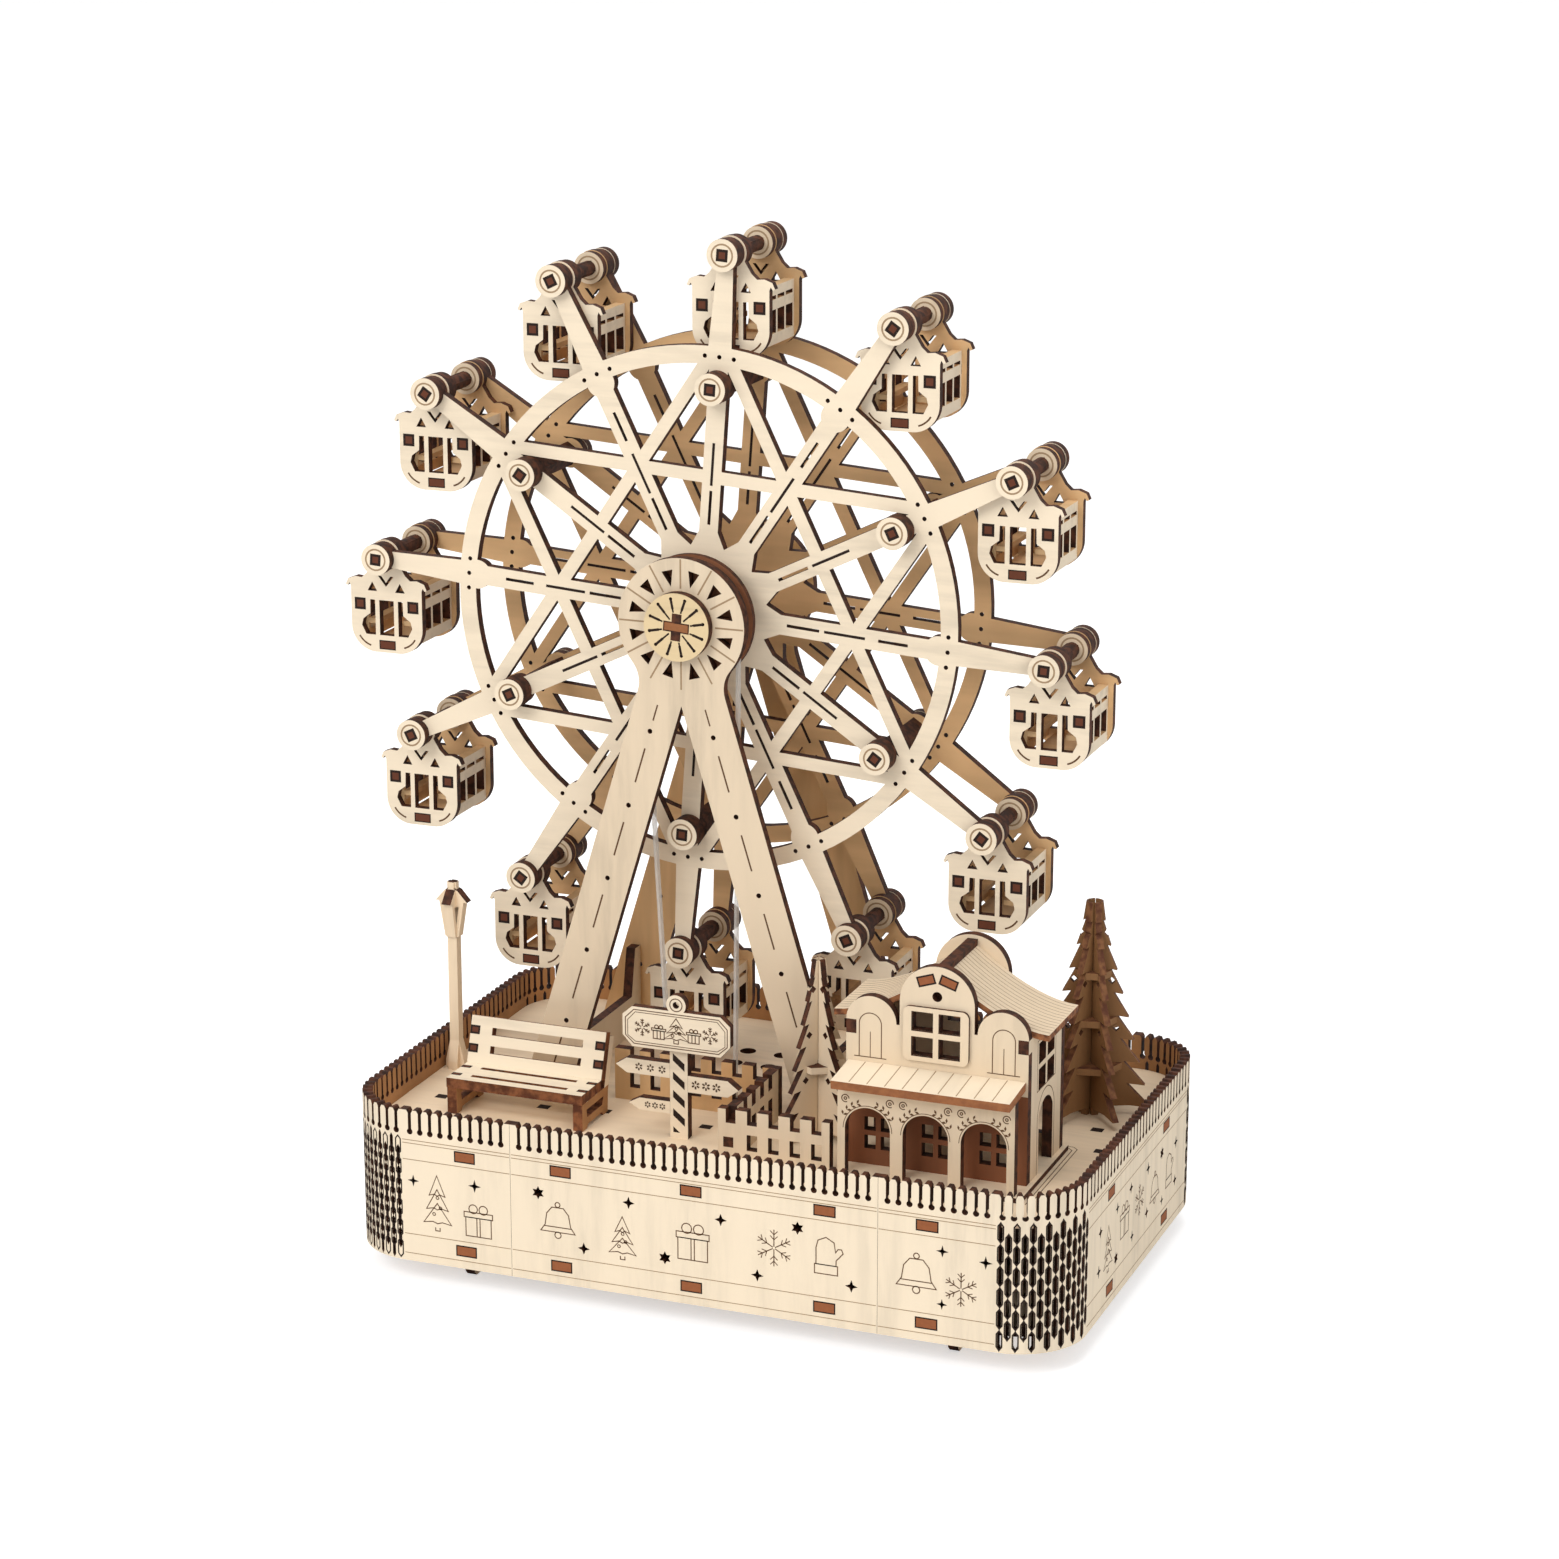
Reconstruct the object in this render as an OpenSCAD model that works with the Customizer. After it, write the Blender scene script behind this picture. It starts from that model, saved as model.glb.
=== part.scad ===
// Ferris wheel model built from slotted sheets of thin plywood, turned by a hand crank.
// Millimetres. X runs along the front, Y runs to the back, Z is up.
// Places are measured from the middle of the base box, with the table at z = 0.

/* [Sheet and fits] */
// Thickness of the plywood sheet
ply = 3; // [2.8:0.1:3.2]
// Thickness of the thinner sheet used for cabins, trees and roof
thin_ply = 2.5; // [2.2:0.1:2.8]
// Radial play of a shaft or pin that turns in its bore
run_play = 0.06; // [0.02:0.01:0.1]
// End play between pieces that turn past each other
side_play = 0.5; // [0.3:0.05:0.7]
// Gap around a tab or edge that is slotted together
fit = 0.05; // [0.02:0.01:0.1]

/* [Base box] */
// Width of the base box
base_w = 220; // [210:1:240]
// Depth of the base box
base_d = 140; // [134:1:160]
// Radius of the bent corners
corner_r = 20; // [18:0.5:24]
// Height of the lower edge of the walls above the table
wall_foot = 7; // [5:0.5:9]
// Height of the tips of the wall pickets above the table
wall_top = 53.5; // [52:0.5:58]
// Height of the underside of the deck
deck_under = 39.8; // [38:0.2:42]
// Height of the underside of the floor of the box
floor_under = 10.9; // [10:0.1:12]
// Distance of the wall seams from the middle
seam_x = 55.65; // [50:0.05:60]
// Width of the tabs of deck and floor
tab_w = 6.2; // [5:0.1:8]
// Pitch of the pickets along the wall edge
picket_pitch = 3.2; // [2.8:0.1:4]
// Depth of the slots between the pickets
picket_drop = 7.4; // [6:0.1:8]
// Distance of the feet from the left and right side of the base
foot_in_x = 35.7; // [30:0.1:44]
// Distance of the feet from the front and back of the base
foot_in_y = 14; // [10:0.5:20]

/* [Wheel] */
// Place of the wheel axis to the side of the middle of the base
axis_x = -27.3; // [-32:0.1:-22]
// Height of the wheel axis above the table
axis_z = 188; // [185:0.5:200]
// Turn of the wheel from a spoke straight up, clockwise from the front
wheel_turn = 4.1; // [0:0.1:8]
// Radius of the circle on which the cabins hang
arm_r = 104.5; // [102:0.5:108]
// Distance from the cabin axles in to the rim
rim_gap = 26.6; // [25:0.1:29]
// Width of the rim
rim_w = 5.2; // [4.4:0.1:6]
// Reach of the triangles' middle lines past the outer edge of the rim
star_reach = 2.1; // [1:0.1:3]
// Width of the bars of the triangles
star_bar = 3.8; // [3:0.1:5]
// Width of a spoke
spoke_w = 5.8; // [5.4:0.1:6.4]
// Radius of the solid hub of a wheel side
hub_r = 24; // [22:0.5:26]
// Width of an arm where it leaves the rim
arm_w = 7.5; // [7:0.1:8.5]
// Radius of the round caps and arm tips
cap_r = 4.7; // [4.4:0.1:5]
// Distance from the rim in to the centres of the inner caps
inner_cap_in = 6.2; // [5.6:0.1:7.5]
// Side of the square tenons that carry the caps
tenon = 3; // [2.6:0.1:3.2]
// Clear space between the two wheel sides
wheel_gap = 27; // [26:0.5:30]
// Front face of the front wheel side, behind the middle of the base
wheel_y = 8; // [7.5:0.5:9]

/* [Shaft and drive] */
// Width of the crossed shaft boards
cross_w = 8; // [7:0.1:8.4]
// Radius of the round bushes on the shaft
bush_r = 5.5; // [5.2:0.1:6]
// Radius of the outer hub discs
disc_r = 10; // [9:0.5:12]
// Radius of the belt groove of the upper pulley
groove_r = 14.4; // [13:0.1:15]
// Radius of the belt groove of the lower pulley
low_groove_r = 9.1; // [8:0.1:9.5]
// Height of the upper pulley's flanges over its groove
flange_rise = 4.4; // [3.5:0.1:4.8]
// Height of the lower pulley's flanges over its groove
low_flange_rise = 2.4; // [1.8:0.1:2.8]
// Width of the belt grooves
groove_w = 3; // [2.6:0.1:3.4]
// Thickness of the pulley flanges
flange_t = 2; // [1.6:0.1:2.2]
// Thickness of the belt band
belt_t = 0.8; // [0.6:0.1:1.2]
// Width of the belt band
belt_w = 2; // [1.6:0.1:2.2]
// Place of the crank shaft to the side of the middle of the base
crank_x = -23.7; // [-27:0.1:-20]
// Height of the crank shaft above the table
crank_z = 27; // [26.5:0.1:27.5]
// Radius of the crank shaft
crank_r = 2.5; // [2:0.1:3]
// Length of the crank arm between shaft and knob
crank_arm = 16; // [14:0.5:18]
// Radius of the crank knob
knob_r = 5; // [4:0.1:6]
// Length of the crank knob
knob_len = 14; // [10:0.5:20]

/* [Wheel stands] */
// Radius of the round heads of the stands
head_r = 19.5; // [19:0.1:21]
// Width of the stand legs
leg_w = 14; // [12:0.5:15]
// Lean of each leg from upright
leg_lean = 16.9; // [15.5:0.1:18]
// Front face of the front stand, from the middle of the base
stand_y = -9; // [-9.5:0.5:-8.5]
// Space between the rear wheel side and the rear stand
rear_room = 6; // [4:0.5:8]

/* [Cabins] */
// Width of a cabin body
cabin_w = 23.6; // [22:0.2:24.5]
// Width over the eaves of a cabin
eave_w = 27; // [26:0.5:28]
// Depth of a cabin's lower edge below its axle
cabin_drop = 30; // [28:0.2:31]
// Radius of the hanger ring of a cabin
ring_r = 4.9; // [4.6:0.1:6]
// Radius of the lower corners of a cabin
cabin_corner = 8; // [6:0.5:9]
// Radius of the round journals of the cabin axles
pin_r = 2.2; // [2.15:0.05:2.6]

/* [Scenery] */
// Left side of the house, from the middle of the base
house_x = 35; // [34:0.5:37]
// Width of the house
house_w = 53.7; // [52:0.1:56]
// Front face of the house wall
house_y = -39.7; // [-41:0.1:-38]
// Depth of the house
house_d = 33.7; // [30:0.1:38]
// Height of the ridge above the deck
ridge_rise = 61; // [58:0.1:66]
// Height of the large tree above the deck
tree_h = 65; // [58:0.5:70]
// Height of the small tree above the deck
small_tree_h = 54; // [48:0.5:56]
// Height of the street lamp above the deck
lamp_h = 59; // [50:0.5:62]
// Height of the sign board's lower edge above the deck
sign_h = 27.4; // [25:0.1:30]
// Length of the bench seat
bench_l = 43.3; // [40:0.1:50]
// Height of the fences
fence_h = 15.8; // [13:0.1:18]

/* [Hidden] */
$fn = 48;
eps = 0.01;
cabins = 12;
step = 360 / cabins;
deck_top = deck_under + ply;
floor_top = floor_under + ply;
foot_x = base_w / 2 - foot_in_x;
foot_y = base_d / 2 - foot_in_y;
rim_out = arm_r - rim_gap;
rim_in = rim_out - rim_w;
star_r = rim_out + star_reach;
inner_cap_at = rim_in - inner_cap_in;
wheel_back_y = wheel_y + ply + wheel_gap;
rear_stand_y = wheel_back_y + ply + rear_room;
cabin_y = wheel_y + ply + side_play;
cabin_back_y = wheel_back_y - side_play - thin_ply;
left_reach = axis_x - arm_r * max([for (i = [0 : cabins - 1]) -sin(wheel_turn + step * i)]) - eave_w / 2;
knob_end_y = base_d / 2 + side_play + ply + knob_len;
frame_x = -(left_reach + base_w / 2) / 2;
frame_y = -(knob_end_y - base_d / 2) / 2;
flange_r = groove_r + flange_rise;
low_flange_r = low_groove_r + low_flange_rise;
pulley_y = stand_y + ply + side_play;
groove_y = pulley_y + flange_t;
belt_gap = 0.3;
tab_spots = [-70, -40, 0, 40, 70];
side_tab_spots = [-28, 28];
corner_mid_x = base_w / 2 - corner_r;
corner_mid_y = base_d / 2 - corner_r;

// Moves a piece from the middle of the base to the middle of the whole model.
module placed() translate([frame_x, frame_y, 0]) children();

// A sheet standing along the front, from y to y + t.
module upright(y, t = ply) translate([0, y + t, 0]) rotate([90, 0, 0]) linear_extrude(t) children();

// A sheet standing front to back, from x to x + t. Its drawing has Y across and Z up.
module crosswise(x, t = ply) translate([x, 0, 0]) rotate([90, 0, 90]) linear_extrude(t) children();

// A sheet lying flat, from z to z + t.
module flat(z, t = ply) translate([0, 0, z]) linear_extrude(t) children();

// A rectangle given by its left, right, lower and upper edges.
module area(x0, x1, y0, y1) translate([x0, y0]) square([x1 - x0, y1 - y0]);

// A polygon whose points run counter-clockwise, whichever way they are listed.
function turning(points, i = 0) = i == len(points) ? 0 :
    let (a = points[i], b = points[(i + 1) % len(points)])
        a[0] * b[1] - a[1] * b[0] + turning(points, i + 1);
function reversed(points) = [for (i = [len(points) - 1 : -1 : 0]) points[i]];
module outline(points) polygon(turning(points) < 0 ? reversed(points) : points);

// A plain bar along Y, square in section.
module square_bar(side, y0, y1) translate([-side / 2, y0, -side / 2]) cube([side, y1 - y0, side]);

// A round bar along Y.
module round_bar(r, y0, y1) translate([0, y0, 0]) rotate([-90, 0, 0]) cylinder(r = r, h = y1 - y0);

// Puts a drawing or piece at a radius and an angle, clockwise from the top.
module polar(angle, r = 0) rotate(-angle) translate([0, r]) children();

// The same for pieces that stand along the front.
module polar_y(angle, r = 0) rotate([0, angle, 0]) translate([0, 0, r]) children();

module on_axis() translate([axis_x, 0, axis_z]) children();

// A star with the given number of points.
module star(points, r_out, r_in) outline([for (i = [0 : 2 * points - 1])
    let (r = i % 2 == 0 ? r_out : r_in, a = 90 + 180 * i / points) [r * cos(a), r * sin(a)]]);

// Outline of the base box seen from above, drawn in by an inset.
module base_plan(inset) {
    r = corner_r - inset;
    x = base_w / 2 - inset;
    y = base_d / 2 - inset;
    area(-x + r, x - r, -y, y);
    area(-x, x, -y + r, y - r);
    for (sx = [-1, 1], sy = [-1, 1]) translate([sx * (x - r), sy * (y - r)]) circle(r, $fn = 64);
}

// Slot between two pickets: a round drop, a narrow neck and a flared mouth that rounds the tips.
module picket_slot() {
    neck = 0.5;
    mouth = 1;
    flare = 0.9;
    outline([[-neck, -picket_drop + 0.9], [-neck, -flare], [-mouth, eps], [mouth, eps],
             [neck, -flare], [neck, -picket_drop + 0.9]]);
    translate([0, -picket_drop + 0.9]) circle(0.9, $fn = 24);
}

// One slot of the lattice that lets the corners bend.
module lattice_slot() outline([[0, -3.4], [0.55, -2.4], [0.55, 2.4],
                               [0, 3.4], [-0.55, 2.4], [-0.55, -2.4]]);

// Cuts through a straight stretch of wall, drawn along X with the wall's outer face at y = 0.
module through_wall() rotate([90, 0, 0]) translate([0, 0, -ply - 1]) linear_extrude(ply + 2) children();

// Slots along a straight stretch between two places on the wall's own axis.
module straight_pickets(from, to) {
    count = floor((to - from) / picket_pitch);
    first = (from + to) / 2 - (count - 1) * picket_pitch / 2;
    for (i = [0 : count - 1]) translate([first + i * picket_pitch, 0, wall_top])
        through_wall() picket_slot();
}

// Lattice and pickets around one bent corner, about the corner's own centre.
module corner_cuts(start) {
    arc = corner_r * PI / 2;
    pickets = round(arc / picket_pitch);
    columns = round(arc / 2.25);
    rows = 6;
    row_pitch = (wall_top - picket_drop - wall_foot - 1) / rows;
    for (i = [0 : pickets - 1]) rotate(start + 90 * (i + 0.5) / pickets)
        translate([corner_r, 0, wall_top]) rotate(90) through_wall() picket_slot();
    for (i = [0 : columns - 1], k = [0 : rows - 1 - i % 2]) rotate(start + 90 * (i + 0.5) / columns)
        translate([corner_r, 0, wall_foot + 0.5 + row_pitch * (k + 0.5 + (i % 2) / 2)])
            rotate(90) through_wall() lattice_slot();
}

// The tab slots of deck and floor in a wall, at the given places.
module wall_tab_slots(spots) for (s = spots, z = [deck_under, floor_under])
    translate([s, 0, 0]) through_wall() area(-tab_w / 2 - fit, tab_w / 2 + fit, z - fit, z + ply + fit);

// Small cut-out stars, as [place along the wall, height, number of points].
module wall_stars(stars) for (s = stars)
    translate([s[0], 0, s[1]]) through_wall() star(s[2], s[2] == 6 ? 2 : 1.9, s[2] == 6 ? 1.1 : 0.75);

front_stars = [[-47, 34, 6], [-33, 19, 4], [-19, 35, 4], [-8, 20, 6], [9, 34, 4], [20, 19, 4],
               [32, 35, 6], [48, 20, 4]];
side_stars = [[-38, 33, 4], [-22, 19, 6], [-8, 35, 4], [9, 21, 4], [24, 34, 6], [39, 20, 4]];

module wall_panel(stars) {
    difference() {
        translate([-seam_x + fit, 0, wall_foot]) cube([2 * seam_x - 2 * fit, ply, wall_top - wall_foot]);
        straight_pickets(-seam_x, seam_x);
        wall_tab_slots([for (s = tab_spots) if (abs(s) < seam_x) s]);
        wall_stars(stars);
    }
}

module wall_front() color("blanchedalmond") placed()
    translate([0, -base_d / 2, 0]) wall_panel(front_stars);

module wall_back() color("blanchedalmond") placed() difference() {
    translate([0, base_d / 2, 0]) rotate(180) wall_panel(front_stars);
    translate([crank_x, 0, crank_z]) round_bar(crank_r + run_play, base_d / 2 - ply - 1, base_d / 2 + 1);
}

// One end of the box: two bent corners, a side and the returns up to the seams. Drawn at the right.
module wall_end() {
    difference() {
        translate([0, 0, wall_foot]) linear_extrude(wall_top - wall_foot) difference() {
            base_plan(0);
            base_plan(ply);
            area(-base_w, seam_x + fit, -base_d, base_d);
        }
        translate([base_w / 2, 0, 0]) rotate(90) {
            straight_pickets(-corner_mid_y, corner_mid_y);
            wall_tab_slots(side_tab_spots);
            wall_stars(side_stars);
        }
        for (side = [-1, 1]) {
            translate([0, side * base_d / 2, 0]) rotate(side < 0 ? 0 : 180) {
                straight_pickets(side < 0 ? seam_x : -corner_mid_x, side < 0 ? corner_mid_x : -seam_x);
                wall_tab_slots([-side * tab_spots[4]]);
            }
            translate([corner_mid_x, side * corner_mid_y, 0]) corner_cuts(side < 0 ? -90 : 0);
        }
    }
}

module wall_right() color("blanchedalmond") placed() wall_end();

module wall_left() color("blanchedalmond") placed() rotate(180) wall_end();

// Outline of deck and floor, with tabs out to the outer face of the walls.
module box_sheet() {
    base_plan(ply + fit);
    for (x = tab_spots) area(x - tab_w / 2, x + tab_w / 2, -base_d / 2, base_d / 2);
    for (y = side_tab_spots) area(-base_w / 2, base_w / 2, y - tab_w / 2, y + tab_w / 2);
}

// Feet: tapered pegs that hang from slots in the floor and stand on the table.
foot_tongue = 4;
foot_shoulder = 6.5;
foot_toe = 1.8;
module feet() color("sienna") placed() for (side = [-1, 1], end = [-1, 1])
    crosswise(side * foot_x - ply / 2) translate([end * foot_y, 0]) {
        area(-foot_tongue, foot_tongue, floor_under - 1, floor_top);
        outline([[-foot_shoulder, floor_under - fit], [-foot_toe - 1.2, 1.2], [-foot_toe, 0],
                 [foot_toe, 0], [foot_toe + 1.2, 1.2], [foot_shoulder, floor_under - fit]]);
    }

module foot_slots(grow) for (side = [-1, 1], end = [-1, 1])
    area(side * foot_x - ply / 2 - grow, side * foot_x + ply / 2 + grow,
         end * foot_y - foot_tongue - grow, end * foot_y + foot_tongue + grow);

// Boards under the deck that carry the crank shaft, one on each side of the lower pulley.
board_w = 34;
board_tab = 10;
board_ys = [pulley_y - side_play - ply, groove_y + groove_w + flange_t + side_play];
module bearing_boards() color("burlywood") placed() for (y = board_ys) upright(y) difference() {
    union() {
        area(crank_x - board_w / 2, crank_x + board_w / 2, floor_top, deck_under);
        area(crank_x - board_tab / 2, crank_x + board_tab / 2, floor_under, floor_top);
    }
    translate([crank_x, crank_z]) circle(crank_r + run_play);
}

module floor_plate() color("burlywood") placed() flat(floor_under) difference() {
    box_sheet();
    foot_slots(fit);
    for (y = board_ys)
        area(crank_x - board_tab / 2 - fit, crank_x + board_tab / 2 + fit, y - fit, y + ply + fit);
}

// Half distance between the leg centre lines at a height.
function leg_out(z) = (axis_z - z) * tan(leg_lean);
leg_tenon = 9;
leg_foot_half = leg_w / 2 / cos(leg_lean);

module leg_slots(grow) for (side = [-1, 1], y = [stand_y, rear_stand_y])
    translate([axis_x + side * leg_out(deck_top), 0])
        area(-leg_tenon / 2 - grow, leg_tenon / 2 + grow, y - grow, y + ply + grow);

// Wheel stand: a round head with twelve wedge holes on two leaning legs.
module stand_outline() {
    foot = leg_out(deck_top);
    difference() {
        union() {
            circle(head_r, $fn = 96);
            for (side = [-1, 1]) outline([[side * leg_foot_half, 0], [-side * leg_foot_half, 0],
                [side * (foot - leg_foot_half), deck_top - axis_z],
                [side * (foot + leg_foot_half), deck_top - axis_z]]);
            for (side = [-1, 1]) translate([side * foot, 0])
                area(-leg_tenon / 2, leg_tenon / 2, deck_under - axis_z, deck_top - axis_z);
            stand_fillets();
        }
        circle(bush_r + run_play);
        for (i = [0 : 11]) polar(15 + 30 * i) outline([[0, head_r - 8.2], [1.75, head_r - 3.4],
            [-1.75, head_r - 3.4]]);
        for (side = [-1, 1], k = [0 : 4])
            translate([side * leg_out(axis_z - 32.5 - 23 * k), -32.5 - 23 * k]) circle(0.75, $fn = 16);
    }
}

// Fillets where the outer edges of the legs run into the head.
module stand_fillets() {
    r = 9;
    across = leg_w / 2 + r;
    along = sqrt(pow(head_r + r, 2) - pow(across, 2));
    share = head_r / (head_r + r);
    for (side = [-1, 1]) rotate(side * leg_lean) difference() {
        outline([[0, 0], [side * across * share, -along * share], [side * across, -along],
                 [side * leg_w / 2, -along], [0, -along]]);
        translate([side * across, -along]) circle(r - eps, $fn = 64);
    }
}

module front_stand() color("wheat") placed() on_axis() upright(stand_y) stand_outline();

module rear_stand() color("wheat") placed() on_axis() upright(rear_stand_y) stand_outline();

// Gussets that tie the front leg to the rear leg, low enough to let the cabins pass.
gusset_at = leg_out(deck_top + 16);
gusset_low = 12.2;
gusset_high = 27;
gusset_tabs = [8, 28];
module gussets() color("wheat") placed() for (side = [-1, 1])
    crosswise(axis_x + side * gusset_at - ply / 2) {
        outline([[stand_y + ply + fit, deck_top], [rear_stand_y - fit, deck_top],
            [rear_stand_y - fit, deck_top + gusset_high], [rear_stand_y - 4, deck_top + gusset_high],
            [cabin_back_y + thin_ply + 2.5, deck_top + gusset_low],
            [stand_y + ply + fit, deck_top + gusset_low]]);
        for (y = gusset_tabs) area(y - 4, y + 4, deck_under, deck_top);
    }

module gusset_slots(grow) for (side = [-1, 1], y = gusset_tabs)
    translate([axis_x + side * gusset_at, y])
        area(-ply / 2 - grow, ply / 2 + grow, -4 - grow, 4 + grow);

// Deck: slots for the legs, sound holes, belt slots and the tenons of the scenery.
module deck_plate() color("wheat") placed() flat(deck_under) difference() {
    box_sheet();
    leg_slots(fit);
    gusset_slots(fit);
    for (x = [-25.9, -14.8], y = [27.7, 38.8]) translate([x, y]) circle(2.5);
    for (side = [-1, 1]) translate([belt_side_x(side, deck_under + ply / 2), groove_y + groove_w / 2])
        square([6, 5], center = true);
}

// Belt: a flat band round the two grooves. Its straight runs touch both circles.
belt_dx = crank_x - axis_x;
belt_dz = crank_z - axis_z;
belt_span = norm([belt_dx, belt_dz]);
belt_lean = asin((groove_r - low_groove_r) / belt_span);
belt_down = atan2(belt_dx, -belt_dz);
function belt_touch(side, r, low) = let (a = belt_down + side * (90 + belt_lean))
    [(low ? belt_dx : 0) + r * sin(a), (low ? belt_dz : 0) - r * cos(a)];
function belt_side_x(side, z) =
    let (a = belt_touch(side, groove_r, false), b = belt_touch(side, low_groove_r, true))
        axis_x + a[0] + (z - axis_z - a[1]) / (b[1] - a[1]) * (b[0] - a[0]);
module belt_loop(grow) {
    circle(groove_r + grow, $fn = 96);
    translate([belt_dx, belt_dz]) circle(low_groove_r + grow, $fn = 96);
    upper = groove_r + grow - eps;
    lower = low_groove_r + grow - eps;
    outline([belt_touch(-1, upper, false), belt_touch(-1, lower, true),
             belt_touch(1, lower, true), belt_touch(1, upper, false)]);
}
module belt() color("gainsboro") placed() on_axis()
    upright(groove_y + (groove_w - belt_w) / 2, belt_w) difference() {
        belt_loop(belt_gap + belt_t);
        belt_loop(belt_gap);
    }

// The cross section of the two interlocked shaft boards.
module cross(grow = 0) {
    square([cross_w + 2 * grow, ply + 2 * grow], center = true);
    square([ply + 2 * grow, cross_w + 2 * grow], center = true);
}

// Wheel side: rim, twelve spokes and arms, and two crossed triangles.
module wheel_side() rotate(-wheel_turn) difference() {
    union() {
        difference() {
            circle(rim_out, $fn = 128);
            circle(rim_in, $fn = 128);
        }
        circle(hub_r - 4, $fn = 64);
        for (i = [0 : cabins - 1]) polar(step * i) spoke(i % 2 == 0);
        for (i = [0, 1]) intersection() {
            rotate(60 * i + 30) difference() {
                circle(star_r + star_bar, $fn = 3);
                circle(star_r - star_bar, $fn = 3);
            }
            circle(rim_out - 0.5, $fn = 96);
        }
    }
    cross();
    for (i = [0 : cabins - 1]) polar(step * i) spoke_holes(i % 2 == 0);
}

// One spoke with its arm, drawn upwards. Spokes with an inner cap stand at the star's tips.
module spoke(with_cap) {
    foot = spoke_w / 2;
    area(-foot, foot, 0, rim_in + 1);
    outline([[-foot - 2.6, hub_r - 5.5], [foot + 2.6, hub_r - 5.5], [foot, hub_r], [-foot, hub_r]]);
    outline([[-arm_w / 2, rim_in + 1], [arm_w / 2, rim_in + 1], [2.3, arm_r], [-2.3, arm_r]]);
    translate([0, arm_r]) circle(cap_r - 0.2);
    if (with_cap) translate([0, inner_cap_at]) circle(cap_r - 0.2);
    else translate([0, rim_in - 0.4]) circle(arm_w / 2 + 0.6);
}

module spoke_holes(with_cap) {
    rim_mid = (rim_out + rim_in) / 2 - 0.3;
    translate([0, arm_r]) square(tenon, center = true);
    if (with_cap) translate([0, inner_cap_at]) square(tenon, center = true);
    for (a = [-3.4, 0, 3.4]) polar(a, rim_mid) circle(0.65, $fn = 16);
    area(-0.45, 0.45, hub_r + 2, hub_r + 12);
    if (!with_cap) {
        area(-0.45, 0.45, inner_cap_at - 12.5, inner_cap_at - 3.5);
        for (side = [-1, 1]) polar(side * 10.4, inner_cap_at - 20.5) circle(0.6, $fn = 16);
    }
}

module wheel_front() color("antiquewhite") placed() on_axis() upright(wheel_y) wheel_side();

module wheel_rear() color("antiquewhite") placed() on_axis() upright(wheel_back_y) wheel_side();

disc_front_y = stand_y - side_play - ply;
disc_rear_y = rear_stand_y + ply + side_play;

module shaft_boards() color("sienna") placed() on_axis() rotate([0, wheel_turn, 0])
    upright(disc_front_y, disc_rear_y + ply - disc_front_y) cross(-fit);

module shaft_bushes() color("tan") placed() on_axis() for (y = [stand_y, rear_stand_y])
    rotate([0, wheel_turn, 0]) upright(y) difference() {
        circle(bush_r);
        cross();
    }

// Hub discs that keep the shaft from sliding, with twelve radial cuts.
module hub_disc() difference() {
    circle(disc_r);
    cross();
    for (i = [0 : 11]) polar(15 + 30 * i) {
        area(-0.28, 0.28, cross_w / 2 + 1.3, disc_r - 1.6);
        translate([0, disc_r - 1.6]) circle(0.5, $fn = 16);
    }
}

module hub_discs() color("antiquewhite") placed() on_axis() for (y = [disc_front_y, disc_rear_y])
    rotate([0, wheel_turn, 0]) upright(y) hub_disc();

module drive_pulley() color("peru") placed() on_axis() rotate([0, wheel_turn, 0]) {
    upright(pulley_y, flange_t) pulley_layer(flange_r);
    upright(groove_y, groove_w) pulley_layer(groove_r);
    upright(groove_y + groove_w, flange_t) pulley_layer(flange_r);
    back_y = groove_y + groove_w + flange_t;
    upright(back_y, wheel_y - back_y) pulley_layer(groove_r);
}

module pulley_layer(r) difference() {
    circle(r, $fn = 96);
    cross();
}

// Cabin axle: square ends in the wheel sides, round journals in the cabin, collars inside it.
collar_r = 4.7;
collar_t = 2.5;
bar_side = 3.4;
module cabin_axles() color("tan") placed() on_axis() for (i = [0 : cabins - 1])
    polar_y(wheel_turn + step * i, arm_r) {
        inner = cabin_y + thin_ply + side_play / 2;
        far = cabin_back_y - side_play / 2;
        square_bar(tenon - 2 * fit, wheel_y - ply, wheel_back_y + 2 * ply);
        round_bar(pin_r, wheel_y + ply, wheel_back_y);
        round_bar(collar_r, inner, inner + collar_t);
        round_bar(collar_r, far - collar_t, far);
        square_bar(bar_side, inner + collar_t, far - collar_t);
    }

module cap() difference() {
    circle(cap_r);
    square(tenon, center = true);
}

module cabin_caps() color("antiquewhite") placed() on_axis()
    for (i = [0 : cabins - 1], y = [wheel_y - ply, wheel_back_y + ply])
        polar_y(wheel_turn + step * i, arm_r) upright(y) cap();

spacer_side = 5;
module spacer_bars() color("tan") placed() on_axis() for (i = [0 : 2 : cabins - 1])
    polar_y(wheel_turn + step * i, inner_cap_at) {
        square_bar(tenon - 2 * fit, wheel_y - 2 * ply, wheel_back_y + 2 * ply);
        square_bar(spacer_side, wheel_y + ply, wheel_back_y);
    }

module inner_caps() color("antiquewhite") placed() on_axis() for (i = [0 : 2 : cabins - 1])
    polar_y(wheel_turn + step * i, inner_cap_at) {
        upright(wheel_y - 2 * ply, 2 * ply) cap();
        upright(wheel_back_y + ply) cap();
    }

// Cabin drawings have their origin on the axle, with Y up.
tab_side = 2.9;
tab_z = -15.4;
tab_x = 8.8;
floor_tab_w = 5.1;
floor_z = -cabin_drop + 1.1;
eave_z = -8.6;

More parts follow.
